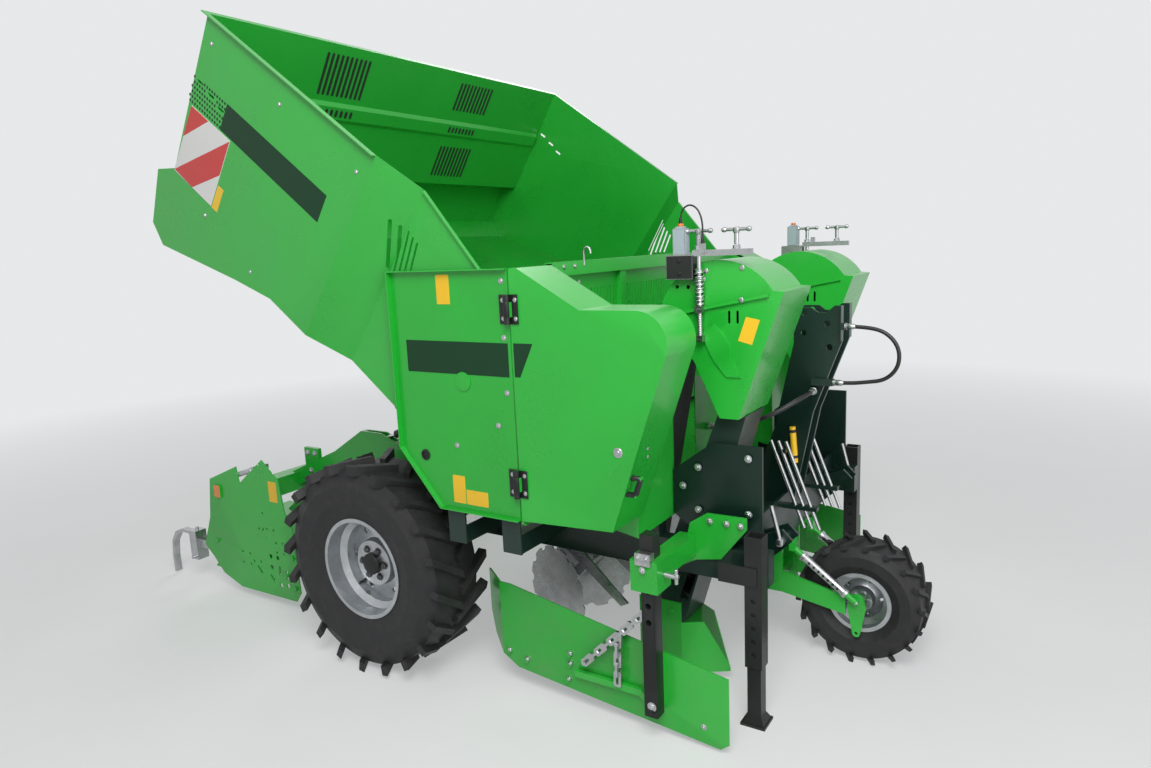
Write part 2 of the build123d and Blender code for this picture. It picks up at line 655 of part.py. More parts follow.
with BuildPart() as tip_lugs:
    for side in (-1, 1):
        for ear in (-1, 1):
            inner = side * tip_x + ear * (tip_eye_w / 2 + sheet)
            low, high = sorted((inner, inner + ear * tip_lug_t))
            with BuildSketch(hopper_side.offset(low)):
                with BuildLine():
                    Polyline((tip_lug_u - tip_lug_root, wide_floor_v),
                             (tip_lug_u + tip_lug_root, wide_floor_v),
                             (tip_lug_u + tip_lug_tip, wide_floor_v - tip_lug_drop - tip_lug_past),
                             (tip_lug_u - tip_lug_tip, wide_floor_v - tip_lug_drop - tip_lug_past),
                             close=True)
                make_face()
            extrude(amount=high - low)
        pin_half = tip_eye_w / 2 + sheet + tip_lug_t + pin_proud
        cross_pin(side * tip_x - pin_half, side * tip_x + pin_half, tip_lug_fwd, tip_lug_z,
                  tip_hopper_pin_r)
save(tip_lugs, "hopper_lugs")


def cylinder_frame(x, base, tip):
    """The plane at a cylinder's base pin that looks along it, and the pins' distance."""
    start = Vector(x, along(base[0]), base[1])
    reach = Vector(0, along(tip[0]) - start.Y, tip[1] - start.Z)
    return Plane(origin=start, x_dir=(1, 0, 0), z_dir=reach.normalized()), reach.length


# Tipping cylinders: the barrel stands on the rail's trunnion, the rod reaches the hopper's lug
tip_plane, tip_length = cylinder_frame(tip_x, (tip_base_fwd, tip_base_z), (tip_lug_fwd, tip_lug_z))
tip_eye_r = 36.0
tip_barrel_start = 30.0
tip_barrel_end = 600.0
tip_gland_l = 34.0
tip_gland_r = 43.0
tip_port_r = 11.0
tip_port_h = 22.0
tip_slack = 14.0
tip_ring_t = 10.0
tip_rod_inside = 560.0

with BuildPart() as tip_barrel:
    with BuildSketch(tip_plane.offset(tip_barrel_start)):
        Circle(tip_barrel_r)
    extrude(amount=tip_barrel_end - tip_barrel_start)
    with BuildSketch(tip_plane.offset(tip_barrel_end - tip_gland_l)):
        Circle(tip_gland_r)
    extrude(amount=tip_gland_l)
    cross_pin(tip_x - tip_eye_w / 2, tip_x + tip_eye_w / 2, tip_base_fwd, tip_base_z, tip_eye_r)
    # Oil ports near both ends
    for reach in (tip_eye_r + tip_port_h + tip_port_r, tip_barrel_end - tip_gland_l - tip_port_h):
        port = tip_plane.from_local_coords((0, 0, reach))
        with BuildSketch(Plane(origin=port, z_dir=tip_plane.y_dir).offset(-tip_barrel_r - tip_port_h)):
            Circle(tip_port_r)
        extrude(amount=tip_port_h + tip_port_r)
    cross_pin(tip_x - tip_eye_w, tip_x + tip_eye_w, tip_base_fwd, tip_base_z,
              tip_pin_r + running_gap, mode=Mode.SUBTRACT)
    with BuildSketch(tip_plane.offset(tip_barrel_start + tip_eye_r)):
        Circle(tip_rod_r + running_gap)
    extrude(amount=tip_barrel_end, mode=Mode.SUBTRACT)
save_pair(tip_barrel, "tip_barrel")

with BuildPart() as tip_rod:
    with BuildSketch(tip_plane.offset(tip_length - tip_rod_inside)):
        Circle(tip_rod_r)
    extrude(amount=tip_rod_inside - tip_hopper_pin_r - tip_slack - tip_ring_t / 2)
    cross_pin(tip_x - tip_eye_w / 2, tip_x + tip_eye_w / 2, tip_lug_fwd, tip_lug_z,
              tip_hopper_pin_r + tip_slack + tip_ring_t)
    cross_pin(tip_x - tip_eye_w, tip_x + tip_eye_w, tip_lug_fwd, tip_lug_z,
              tip_hopper_pin_r + tip_slack, mode=Mode.SUBTRACT)
save_pair(tip_rod, "tip_rod")

# Tyre outlines, as shares of the half width and of the height from side to crown or from rim to side
crown_share = 0.78
shoulder_share = 0.97
side_rise_share = 0.62
shoulder_rise_share = 0.2
bulge_drop_share = 0.4
bulge_in = 6.0
bead_h = 15.0
lug_sink_share = 0.6
lug_reach_share = 2.4
lug_back_share = 1.1
lug_inner_share = 0.03


def tyre(place, diameter, width, rim_r, rim_w, lug_h, lug_count):
    """A revolved carcass with slanted lugs in two staggered rows."""
    outer_r = diameter / 2
    base_r = outer_r - lug_h
    side_r = rim_r + side_rise_share * (base_r - rim_r)
    half = width / 2
    rim_half = rim_w / 2 - sheet - seat_gap
    right_side = [(crown_share * half, base_r - lug_h / 4),
                  (shoulder_share * half, side_r + shoulder_rise_share * (base_r - side_r)),
                  (half - bulge_in, side_r - bulge_drop_share * (side_r - rim_r)),
                  (rim_half, rim_r + bead_h), (rim_half, rim_r)]
    left_side = [(-across, radius) for across, radius in reversed(right_side)]
    spin = Plane(origin=place, x_dir=(1, 0, 0), z_dir=(0, -1, 0))
    with BuildPart() as body:
        with BuildSketch(spin):
            with BuildLine():
                Polyline((0, base_r), *right_side, *left_side, close=True)
            make_face()
        revolve(axis=Axis(place, (1, 0, 0)))
        reach = lug_reach_share * lug_h
        back = lug_back_share * lug_h
        sink = lug_sink_share * lug_h
        top = sqrt(outer_r ** 2 - reach ** 2)
        first = degrees(asin(reach / outer_r)) - 180
        for side in (-1, 1):
            shift = 0 if side > 0 else 180 / lug_count
            inner = -side * lug_inner_share * half
            for turn in range(lug_count):
                angle = radians(first + shift + turn * 360 / lug_count)
                level = Plane(origin=place, x_dir=(1, 0, 0), z_dir=(0, -sin(angle), cos(angle)))
                with BuildSketch(level.offset(base_r - sink)):
                    with BuildLine():
                        Polyline((inner, reach), (side * half, back - reach), (side * half, -reach),
                                 (inner, reach - back), close=True)
                    make_face()
                extrude(amount=top - base_r + sink)
    return body


rear_tyre = tyre((rear_wheel_x, axle_y, axle_z), rear_tyre_d, rear_tyre_w, rear_rim_r, rear_rim_w,
                 rear_lug_h, rear_lug_count)
save_pair(rear_tyre, "rear_tyre")
front_tyre = tyre((0, along(front_wheel_fwd), front_wheel_z), front_tyre_d, front_tyre_w, front_rim_r,
                  front_rim_w, front_lug_h, front_lug_count)
save(front_tyre, "front_tyre")

# Rims: a drop-centre channel, a dished disc with hand holes and a hub with its nuts on the spindle
rim_lip = 12.0
rim_drop = 24.0
rim_shoulder_share = 0.45
rim_well_share = 0.3
rim_wall_share = 0.03
hub_length = 30.0
hub_depth = 60.0
hub_neck_share = 0.8
dish_out = 8.0
dish_in = 28.0
dish_step = 6.0
front_spindle_r = 15.0


def rim(place, rim_r, width, hub_r, bore_r, disc_x, hole_count, hole_radius):
    half = width / 2
    bore = bore_r + running_gap
    seat = rim_r - seat_gap
    well = rim_r - rim_drop
    outer_half = [(half - sheet, rim_r + rim_lip), (half - sheet, seat),
                  ((rim_shoulder_share - rim_wall_share) * half, seat),
                  ((rim_well_share - rim_wall_share) * half, well)]
    inner_half = [(rim_well_share * half, well - sheet), (rim_shoulder_share * half, rim_r - sheet),
                  (half, rim_r - sheet), (half, rim_r + rim_lip)]
    channel_points = [*inner_half, *outer_half]
    mirrored = [(-across, radius) for across, radius in reversed(channel_points)]
    spin = Plane(origin=place, x_dir=(1, 0, 0), z_dir=(0, -1, 0))
    with BuildPart() as body:
        with BuildSketch(spin):
            with BuildLine():
                Polyline(*channel_points, *mirrored, close=True)
            make_face()
        revolve(axis=Axis(place, (1, 0, 0)))
        with BuildSketch(spin):
            with BuildLine():
                Polyline((disc_x, bore), (disc_x + hub_length, bore), (disc_x + hub_length, hub_r),
                         (disc_x, hub_r + dish_step), (disc_x + dish_out - dish_in, well - sheet / 2),
                         (disc_x - dish_in, well - sheet / 2), (disc_x - dish_out, hub_r),
                         (disc_x - hub_depth, hub_neck_share * hub_r), (disc_x - hub_depth, bore),
                         close=True)
            make_face()
        revolve(axis=Axis(place, (1, 0, 0)))
        # Hand holes through the disc
        disc_plane = Plane(origin=place, x_dir=(0, 1, 0), z_dir=(1, 0, 0))
        with BuildSketch(disc_plane.offset(disc_x - hub_depth)):
            with PolarLocations((hub_r + well) / 2 + dish_step, hole_count):
                Circle(hole_radius)
        extrude(amount=hub_depth + hub_length, mode=Mode.SUBTRACT)
        # Hub nuts
        with BuildSketch(disc_plane.offset(disc_x + hub_length)):
            with PolarLocations((hub_r + bore_r) / 2, hole_count):
                RegularPolygon(bolt_r, 6)
        extrude(amount=bolt_h)
    return body


rear_rim = rim((rear_wheel_x, axle_y, axle_z), rear_rim_r, rear_rim_w, rear_hub_r, spindle_r,
               rear_disc_x, 6, 1.5 * bolt_r)
save_pair(rear_rim, "rear_rim")
front_rim = rim((0, along(front_wheel_fwd), front_wheel_z), front_rim_r, front_rim_w, front_hub_r,
                front_spindle_r, front_disc_x, 5, hole_r)
save(front_rim, "front_rim")

# Carrier of the front depth wheel: arms, oval axle plates and two adjusting struts
fork_gap = 10.0
fork_in = front_tyre_w / 2 + fork_gap
fork_t = 12.0
fork_root_fwd = 1390.0
fork_root_z = 300.0
fork_half = 45.0
fork_end_half = 38.0
fork_end_fwd = 1690.0
oval_top_r = 28.0
oval_foot_r = 15.0
oval_top_z = 275.0
oval_foot_z = 140.0
strut_r = 13.0
strut_top_fwd = 1484.0
strut_top_z = 463.0
tie_half = 20.0

with BuildPart() as fork:
    root_rear, root_front = fork_root_fwd - fork_half, fork_root_fwd + fork_half
    arm_points = [(root_rear, fork_root_z - fork_half), (root_rear, rail_low), (root_front, rail_low),
                  (root_front, fork_root_z + fork_half), (fork_end_fwd, front_wheel_z + fork_end_half),
                  (fork_end_fwd, front_wheel_z - fork_end_half), (root_front, fork_root_z - fork_half)]
    both_sides(side_prism, fork_in, fork_in + fork_t, arm_points)
    for low, high in ((-fork_in - fork_t, -fork_in), (fork_in, fork_in + fork_t)):
        with BuildSketch(Plane.YZ.offset(low)) as oval:
            with Locations((along(front_wheel_fwd), oval_top_z)):
                Circle(oval_top_r)
            with Locations((along(front_wheel_fwd), oval_foot_z)):
                Circle(oval_foot_r)
            with Locations((along(front_wheel_fwd), front_wheel_z)):
                Circle(oval_top_r + front_spindle_r / 2)
            make_hull()
        extrude(oval.sketch, amount=high - low)
        cross_pin(low, high, front_wheel_fwd, oval_foot_z, hole_r, mode=Mode.SUBTRACT)
    both_sides(cross_pin, fork_in + fork_t, fork_in + fork_t + bolt_h, front_wheel_fwd, oval_top_z, bolt_r)
    cross_pin(-fork_in - fork_t, fork_in + fork_t, front_wheel_fwd, front_wheel_z, front_spindle_r)
    block(-fork_in, fork_in, fork_root_fwd - tie_half, fork_root_fwd + tie_half,
          fork_root_z - tie_half, fork_root_z + tie_half)
    for side in (-1, 1):
        strut_x = side * (fork_in + fork_t + strut_r - running_gap)
        rod((strut_x, strut_top_fwd, strut_top_z), (strut_x, front_wheel_fwd, oval_top_z), strut_r)
        foot_x, head_x = sorted((side * fork_in, strut_x + side * strut_r))
        block(foot_x, head_x, strut_top_fwd - strut_r, strut_top_fwd + strut_r,
              strut_top_z - strut_r, rail_low)
    both_sides(block, fork_in, fork_in + 2 * strut_r + fork_t, toolbar_rear_fwd + tie_half,
               strut_top_fwd + strut_r, rail_low - fork_t, rail_low)
save(fork, "wheel_fork")

# Planting elements: a hood over each cup belt, a folded front, a bolted guard and slots
element_half = 150.0
drum_fwd = 1367.0
drum_z = 1406.0
hood_r = 229.0
hood_rear_low_fwd = 1277.0
hood_rear_low_z = 1282.0
hood_rear_top_fwd = 1147.0
hood_rear_top_z = 1446.0
hood_front_top_fwd = 1562.0
hood_front_top_z = 1530.0
front_corner_fwd = 1600.0
front_corner_z = 1526.0
front_low_fwd = 1440.0
front_low_z = 1085.0
chute_low_fwd = 1370.0
fold_rise = 10.0
fold_w = 12.0
guard_t = 6.0
guard_shares = [(0.0, 0.82), (0.3, 1.0), (0.5, 0.86), (0.7, 0.62), (0.72, 0.42), (0.88, 0.2),
                (1.0, 0.0), (0.62, 0.0), (0.3, 0.3), (0.1, 0.6)]
guard_rear_fwd = 1310.0
guard_front_fwd = 1451.0
guard_top_z = 1440.0
slot_places = ((1409.0, 1441.0), (1439.0, 1441.0))
slot_h = 44.0
slot_half_w = 4.5
rear_hole_places = ((1217.0, 1545.0), (1259.0, 1544.0))
belt_way_shares = [(0.0, 1.0), (0.28, 1.0), (0.62, 0.56), (0.82, 0.22), (1.0, 0.22), (1.0, 0.0), (0.0, 0.0)]
belt_way_rear_fwd = 1100.0
belt_way_front_fwd = 1430.0
belt_way_low_z = 1000.0
belt_way_top_z = 1490.0


def hood_face(start_x, inset):
    with BuildSketch(Plane.YZ.offset(start_x)) as face:
        rear_low = (along(hood_rear_low_fwd), hood_rear_low_z)
        rear_top = (along(hood_rear_top_fwd), hood_rear_top_z)
        front_top = (along(hood_front_top_fwd), hood_front_top_z)
        with BuildLine():
            Line(rear_low, rear_top)
            ThreePointArc(rear_top, (along(drum_fwd), drum_z + hood_r), front_top)
            Polyline(front_top, (along(front_corner_fwd), front_corner_z),
                     (along(front_low_fwd), front_low_z), (along(chute_low_fwd), front_low_z), rear_low)
        make_face()
        if inset:
            offset(amount=-inset, kind=Kind.INTERSECTION, mode=Mode.REPLACE)
    return face.sketch


with BuildPart() as housing:
    element_in = row_x - element_half
    element_out = row_x + element_half
    extrude(hood_face(element_in, 0), amount=2 * element_half)
    extrude(hood_face(element_in + sheet, sheet), amount=2 * (element_half - sheet), mode=Mode.SUBTRACT)
    side_prism(element_in + sheet, element_out - sheet,
               spread(belt_way_shares, belt_way_rear_fwd, belt_way_front_fwd, belt_way_low_z,
                      belt_way_top_z), mode=Mode.SUBTRACT)
    for low, high in ((element_in - fold_w, element_in), (element_out, element_out + fold_w)):
        # Fold line along each side and a stepped guard below it
        side_prism(low, high, [(hood_rear_top_fwd + fold_w, hood_rear_top_z),
                               (hood_front_top_fwd - fold_w, hood_front_top_z - fold_rise),
                               (hood_front_top_fwd - fold_w, hood_front_top_z - 2 * fold_rise),
                               (hood_rear_top_fwd + fold_w, hood_rear_top_z - fold_rise)])
    side_prism(element_out, element_out + guard_t,
               spread(guard_shares, guard_rear_fwd, guard_front_fwd, hood_rear_low_z - 4 * fold_w,
                      guard_top_z - 2 * fold_w))
    for fwd, height in slot_places:
        cross_slot(element_out - 2 * sheet, element_out + overrun, fwd, height, slot_h, slot_half_w, 90)
        cross_slot(element_in - overrun, element_in + 2 * sheet, fwd, height, slot_h, slot_half_w, 90)
    for fwd, height in rear_hole_places:
        cross_pin(element_out - 2 * sheet, element_out + overrun, fwd, height, hole_r, mode=Mode.SUBTRACT)
    cross_pin(element_out, element_out + bolt_h, drum_fwd - hood_r / 4, hood_rear_top_z + 2 * fold_w, bolt_r)
save_pair(housing, "element_housing")

# Cup belt: a belt round the drum and the foot roller, with two staggered rows of cups
belt_drum_fwd = drum_fwd - 12.0
drum_r = 140.0
belt_t = 5.0
foot_fwd = 1068.0
foot_z = 320.0
foot_r = 60.0
cup_pitch = 118.0
cup_row_x = 36.0
cup_base_r = 17.0
cup_h = 34.0
cup_flare = 16.0
cup_wall = 3.0
cup_sides = 8


def belt_stations():
    """Places round the belt's outside, each with the direction square to the belt."""
    span_fwd, span_z = foot_fwd - belt_drum_fwd, foot_z - drum_z
    distance = hypot(span_fwd, span_z)
    heading = atan2(span_z, span_fwd)
    lean = asin((drum_r - foot_r) / distance)
    straight = distance * cos(lean)
    stations = []
    for turn in (-1, 1):
        normal = heading + turn * (pi / 2 - lean)
        out_fwd, out_z = cos(normal), sin(normal)
        count = int(straight / cup_pitch)
        for index in range(count):
            share = (index + 0.5 + turn / 4) / count
            radius = drum_r + share * (foot_r - drum_r)
            centre = belt_drum_fwd + share * span_fwd, drum_z + share * span_z
            stations.append((centre[0] + radius * out_fwd, centre[1] + radius * out_z, out_fwd, out_z))
    for centre, radius, middle, reach in (((belt_drum_fwd, drum_z), drum_r, heading + pi, pi / 2 + lean),
                                          ((foot_fwd, foot_z), foot_r, heading, pi / 2 - lean)):
        count = max(1, int(2 * reach * radius / cup_pitch))
        for index in range(count):
            angle = middle - reach + 2 * reach * (index + 0.5) / count
            out_fwd, out_z = cos(angle), sin(angle)
            stations.append((centre[0] + radius * out_fwd, centre[1] + radius * out_z, out_fwd, out_z))
    return stations


with BuildPart() as belt:
    with BuildSketch(Plane.YZ.offset(row_x - belt_half)):
        with Locations((along(belt_drum_fwd), drum_z)):
            Circle(drum_r)
        with Locations((along(foot_fwd), foot_z)):
            Circle(foot_r)
        make_hull()
        offset(amount=-belt_t, mode=Mode.SUBTRACT)
    extrude(amount=2 * belt_half)
    for index, (fwd, height, out_fwd, out_z) in enumerate(belt_stations()):
        side = -1 if index % 2 else 1
        seat = Plane(origin=(row_x + side * cup_row_x, along(fwd), height), x_dir=(1, 0, 0),
                     z_dir=(0, out_fwd, out_z))
        with BuildSketch(seat.offset(-belt_t / 2)):
            RegularPolygon(cup_base_r, cup_sides)
        extrude(amount=cup_h + belt_t / 2, taper=-cup_flare)
        with BuildSketch(seat.offset(belt_t)):
            RegularPolygon(cup_base_r - cup_wall, cup_sides)
        extrude(amount=cup_h, taper=-cup_flare, mode=Mode.SUBTRACT)
save_pair(belt, "cup_belt")

# Drum and foot roller that carry each cup belt
drum_shaft_r = 15.0
foot_shaft_r = 12.0
channel_side = belt_half + 15.0
drum_seat_r = drum_r - belt_t - seat_gap
foot_seat_r = foot_r - belt_t - seat_gap
drum_web_t = 8.0
drum_rim_t = 9.0

with BuildPart() as drums:
    cross_pin(row_x - belt_half, row_x + belt_half, belt_drum_fwd, drum_z, drum_seat_r)
    for start in (row_x - belt_half, row_x + drum_web_t / 2):
        cross_pin(start, start + belt_half - drum_web_t / 2, belt_drum_fwd, drum_z,
                  drum_seat_r - drum_rim_t, mode=Mode.SUBTRACT)
    cross_pin(row_x - element_half + sheet, row_x + element_half - sheet, belt_drum_fwd, drum_z,
              drum_shaft_r)
    cross_pin(row_x - belt_half / 2, row_x + belt_half / 2, belt_drum_fwd, drum_z, 2 * drum_shaft_r)
    cross_pin(row_x - belt_half, row_x + belt_half, foot_fwd, foot_z, foot_seat_r)
    cross_pin(row_x - channel_side, row_x + channel_side, foot_fwd, foot_z, foot_shaft_r)
save_pair(drums, "belt_drums")

# Channel that guides the cups down to the furrow
channel_top_z = front_low_z
channel_foot_z = 250.0
channel_front_top = 1445.0
channel_front_foot = 1190.0
channel_rear_top = 1340.0
channel_rear_foot = 1020.0
channel_lip = 24.0
window_shares = [(0.36, 0.12), (0.44, 0.12), (0.66, 0.44), (0.58, 0.44)]

with BuildPart() as channel:
    wall_points = [(channel_rear_top, channel_top_z), (channel_front_top, channel_top_z),
                   (channel_front_foot, channel_foot_z), (channel_rear_foot, channel_foot_z)]
    for low, high in ((row_x - channel_side - sheet, row_x - channel_side),
                      (row_x + channel_side, row_x + channel_side + sheet)):
        side_prism(low, high, wall_points)
    side_prism(row_x - channel_side, row_x + channel_side,
               [(channel_front_top - sheet, channel_top_z), (channel_front_top, channel_top_z),
                (channel_front_foot, channel_foot_z), (channel_front_foot - sheet, channel_foot_z)])
    for low, high in ((row_x - channel_side, row_x - channel_side + channel_lip / 2),
                      (row_x + channel_side - channel_lip / 2, row_x + channel_side)):
        side_prism(low, high,
                   [(channel_rear_top, channel_top_z), (channel_rear_top + sheet, channel_top_z),
                    (channel_rear_foot + sheet, channel_foot_z), (channel_rear_foot, channel_foot_z)])
    side_prism(row_x - channel_side - overrun, row_x + channel_side + overrun,
               spread(window_shares, channel_rear_foot, channel_front_top, channel_foot_z,
                      channel_top_z), mode=Mode.SUBTRACT)
save_pair(channel, "belt_channel")

# Furrow opener: a pointed shoe below the channel, its cheeks bolted outside the channel's walls
shoe_rear_fwd = 1000.0
shoe_wide_fwd = 1180.0
shoe_nose_fwd = 1340.0
shoe_low_z = 40.0
shoe_top_z = 250.0
shoe_cheek_z = 330.0
shoe_t = 6.0
shoe_in = channel_side + sheet
shoe_rake_share = 0.55

with BuildPart() as opener:
    with BuildSketch(Plane.XY.offset(shoe_low_z)):
        with BuildLine():
            Polyline((row_x - shoe_in - shoe_t, along(shoe_rear_fwd)),
                     (row_x - shoe_in - shoe_t, along(shoe_wide_fwd)), (row_x, along(shoe_nose_fwd)),
                     (row_x + shoe_in + shoe_t, along(shoe_wide_fwd)),
                     (row_x + shoe_in + shoe_t, along(shoe_rear_fwd)),
                     (row_x + shoe_in, along(shoe_rear_fwd)), (row_x + shoe_in, along(shoe_wide_fwd)),
                     (row_x, along(shoe_nose_fwd - 2 * shoe_t)),
                     (row_x - shoe_in, along(shoe_wide_fwd)), (row_x - shoe_in, along(shoe_rear_fwd)),
                     close=True)
        make_face()
    extrude(amount=shoe_cheek_z - shoe_low_z)
    # The nose rakes back towards its top and the cheeks step down in front of the channel
    side_prism(row_x - shoe_in - overrun, row_x + shoe_in + overrun,
               [(shoe_wide_fwd, shoe_cheek_z + overrun), (shoe_wide_fwd, shoe_top_z),
                (shoe_nose_fwd - shoe_rake_share * (shoe_nose_fwd - shoe_wide_fwd), shoe_top_z),
                (shoe_nose_fwd + shoe_t, shoe_low_z), (shoe_nose_fwd + overrun, shoe_cheek_z + overrun)],
               mode=Mode.SUBTRACT)
    for low, high in ((row_x - shoe_in - shoe_t - bolt_h, row_x - shoe_in - shoe_t),
                      (row_x + shoe_in + shoe_t, row_x + shoe_in + shoe_t + bolt_h)):
        for fwd in (channel_rear_foot + overrun, shoe_wide_fwd - overrun):
            cross_pin(low, high, fwd, (shoe_top_z + shoe_cheek_z) / 2, bolt_r)
save_pair(opener, "opener")

# Covering discs behind each opener, on struts from the rear outrigger
disc_r = 185.0
disc_t = 5.0
disc_fwd = 630.0
disc_z = 290.0
disc_spread = 130.0
disc_toe = 20.0
disc_notch_count = 12
disc_notch_r = 22.0
disc_hub_r = 35.0
disc_hub_l = 30.0
strut_x = channel_side + sheet + 1.0
strut_t = 10.0
strut_foot_fwd = 915.0
strut_foot_z = 280.0
strut_w = 34.0
carrier_half = 17.0
carrier_fwd = 760.0
carrier_z = 415.0

with BuildPart() as discs:
    strut_rear = outrigger_fwds[0] - outrigger_s / 2
    strut_points = [(strut_rear, outrigger_low), (strut_rear + 2 * strut_w, outrigger_low),
                    (strut_foot_fwd + strut_w, strut_foot_z), (strut_foot_fwd, strut_foot_z - strut_w / 2),
                    (strut_rear, outrigger_low - strut_w)]
    for side in (-1, 1):
        low, high = sorted((side * strut_x, side * (strut_x + strut_t)))
        side_prism(row_x + low, row_x + high, strut_points)
        out = (cos(radians(disc_toe)), -side * sin(radians(disc_toe)), 0)
        turned = Plane(origin=(row_x + side * disc_spread, along(disc_fwd), disc_z),
                       x_dir=(0, 0, 1), z_dir=out)
        with BuildSketch(turned):
            Circle(disc_r)
            with PolarLocations(disc_r + disc_notch_r / 3, disc_notch_count):
                Circle(disc_notch_r, mode=Mode.SUBTRACT)
        extrude(amount=disc_t)
        with BuildSketch(turned.offset(-side * disc_hub_l)):
            Circle(disc_hub_r)
        extrude(amount=side * disc_hub_l)
        # Carrier arm from the disc's hub up to the strut
        inner = side * (disc_spread - disc_hub_l - carrier_half)
        near, far = sorted((inner - carrier_half, inner + carrier_half))
        side_prism(row_x + near, row_x + far,
                   [(disc_fwd - carrier_half, disc_z - carrier_half),
                    (disc_fwd + carrier_half, disc_z - carrier_half),
                    (carrier_fwd + carrier_half, carrier_z), (carrier_fwd, carrier_z + 2 * carrier_half),
                    (disc_fwd - carrier_half, disc_z + carrier_half)])
    block(row_x - strut_x, row_x + strut_x, carrier_fwd - carrier_half, carrier_fwd + carrier_half,
          carrier_z - carrier_half / 2, carrier_z + carrier_half / 2)
save_pair(discs, "cover_discs")

# Side shields: a curled guard on each side that keeps the ridge's soil in
shield_t = 5.0
shield_rear_x = 878.0
shield_front_x = 895.0
shield_curl_x = 790.0
shield_rear_fwd = 440.0
shield_curl_fwd = 560.0
shield_front_fwd = 1512.0
shield_low_z = 15.0
shield_high_z = 426.0
shield_shares = [(0.0, 1.0), (0.16, 1.0), (1.0, 0.64), (1.0, 0.06), (0.97, 0.0), (0.18, 0.17),
                 (0.04, 0.38), (0.0, 0.57)]
shield_bolt_shares = [(0.4, 0.2), (0.41, 0.46), (0.22, 0.27), (0.14, 0.31), (0.41, 0.36)]
post_x = 932.0
post_s = 50.0
post_fwd = 1255.0
post_low_z = 100.0
post_top_z = 755.0
post_hole_shares = (0.7, 0.62, 0.53)
post_foot_low = 118.0
post_foot_high = 313.0
low_arm_points = [(913.0, 134.0), (1182.0, 133.0), (1223.0, 97.0), (1236.0, 115.0), (1190.0, 158.0),
                  (913.0, 158.0)]

with BuildPart() as shield:
    # The sheet's plan runs straight back and then curls in behind the wheel's tread
    with BuildSketch(Plane.XY.offset(shield_low_z)):
        with BuildLine():
            Polyline((shield_front_x, along(shield_front_fwd)), (shield_rear_x, along(shield_curl_fwd)),
                     (shield_curl_x, along(shield_rear_fwd)),
                     (shield_curl_x - shield_t, along(shield_rear_fwd) + shield_t),
                     (shield_rear_x - shield_t, along(shield_curl_fwd) + shield_t),
                     (shield_front_x - shield_t, along(shield_front_fwd)), close=True)
        make_face()
    extrude(amount=shield_high_z - shield_low_z)
    side_prism(shield_curl_x - overrun, shield_front_x + overrun,
               spread(shield_shares, shield_rear_fwd, shield_front_fwd, shield_low_z, shield_high_z),
               mode=Mode.INTERSECT)
    for fwd, height in spread(shield_bolt_shares, shield_rear_fwd, shield_front_fwd, shield_low_z,
                              shield_high_z):
        share = (fwd - shield_curl_fwd) / (shield_front_fwd - shield_curl_fwd)
        face_x = shield_rear_x + share * (shield_front_x - shield_rear_x)
        cross_pin(face_x - shield_t, face_x + bolt_h, fwd, height, bolt_r)
    # Pad for the post's foot, and a low arm along the outside
    block(shield_front_x - 2 * shield_t, post_x - post_s / 2, post_fwd - post_s / 2 + shield_t,
          post_fwd + post_s / 2 - shield_t, post_foot_low, post_foot_high)
    side_prism(shield_front_x - shield_t, post_x - post_s / 2, low_arm_points)
save_pair(shield, "side_shield")

with BuildPart() as post:
    block(post_x - post_s / 2, post_x + post_s / 2, post_fwd - post_s / 2, post_fwd + post_s / 2,
          post_low_z, post_top_z)
    for share in post_hole_shares:
        cross_pin(post_x - post_s, post_x + post_s, post_fwd,
                  post_low_z + share * (post_top_z - post_low_z), bolt_r, mode=Mode.SUBTRACT)
    cross_pin(post_x + post_s / 2, post_x + post_s / 2 + bolt_h, post_fwd, post_low_z + post_s / 2, bolt_r)
save_pair(post, "shield_post")

# Arms that carry the shields' posts from the headstock, each with a clamp
bracket_shares = [(0.0, 0.0), (0.17, 0.79), (0.42, 0.99), (1.0, 1.0), (1.0, 0.8), (0.63, 0.25),
                  (0.26, 0.17)]
bracket_rear_fwd = 1223.0
bracket_front_fwd = 1480.0
bracket_low_z = 525.0
bracket_top_z = 745.0
bracket_t = 10.0
bracket_bolts = ((1347.0, 720.0), (1410.0, 719.0), (1462.0, 718.0))
arm_s = 70.0
arm_z = 620.0
clamp_s = 100.0
clamp_h = 110.0
clamp_screw_r = 8.0
clamp_screw_l = 52.0
clamp_handle_half = 24.0
clamp_handle_r = 6.0

with BuildPart() as arm:
    side_prism(rail_out, rail_out + bracket_t,
               spread(bracket_shares, bracket_rear_fwd, bracket_front_fwd, bracket_low_z, bracket_top_z))
    for fwd, height in bracket_bolts:
        cross_pin(rail_out + bracket_t, rail_out + bracket_t + bolt_h, fwd, height, bolt_r)
    block(rail_out, post_x - clamp_s / 2, post_fwd - arm_s / 2, post_fwd + arm_s / 2,
          arm_z - arm_s / 2, arm_z + arm_s / 2)
    block(post_x - clamp_s / 2, post_x + clamp_s / 2, post_fwd - clamp_s / 2, post_fwd + clamp_s / 2,
          arm_z - clamp_h / 2, arm_z + clamp_h / 2)
    block(post_x - post_s / 2, post_x + post_s / 2, post_fwd - post_s / 2, post_fwd + post_s / 2,
          arm_z - clamp_h, arm_z + clamp_h, mode=Mode.SUBTRACT)
    cross_pin(post_x + clamp_s / 2, post_x + clamp_s / 2 + bolt_h, post_fwd, arm_z + clamp_h / 4, bolt_r)
    screw_end = post_fwd + clamp_s / 2 + clamp_screw_l
    rod((post_x, post_fwd + clamp_s / 2, arm_z), (post_x, screw_end, arm_z), clamp_screw_r)
    rod((post_x, screw_end - clamp_screw_r, arm_z - clamp_handle_half),
        (post_x, screw_end - clamp_screw_r, arm_z + clamp_handle_half), clamp_handle_r)
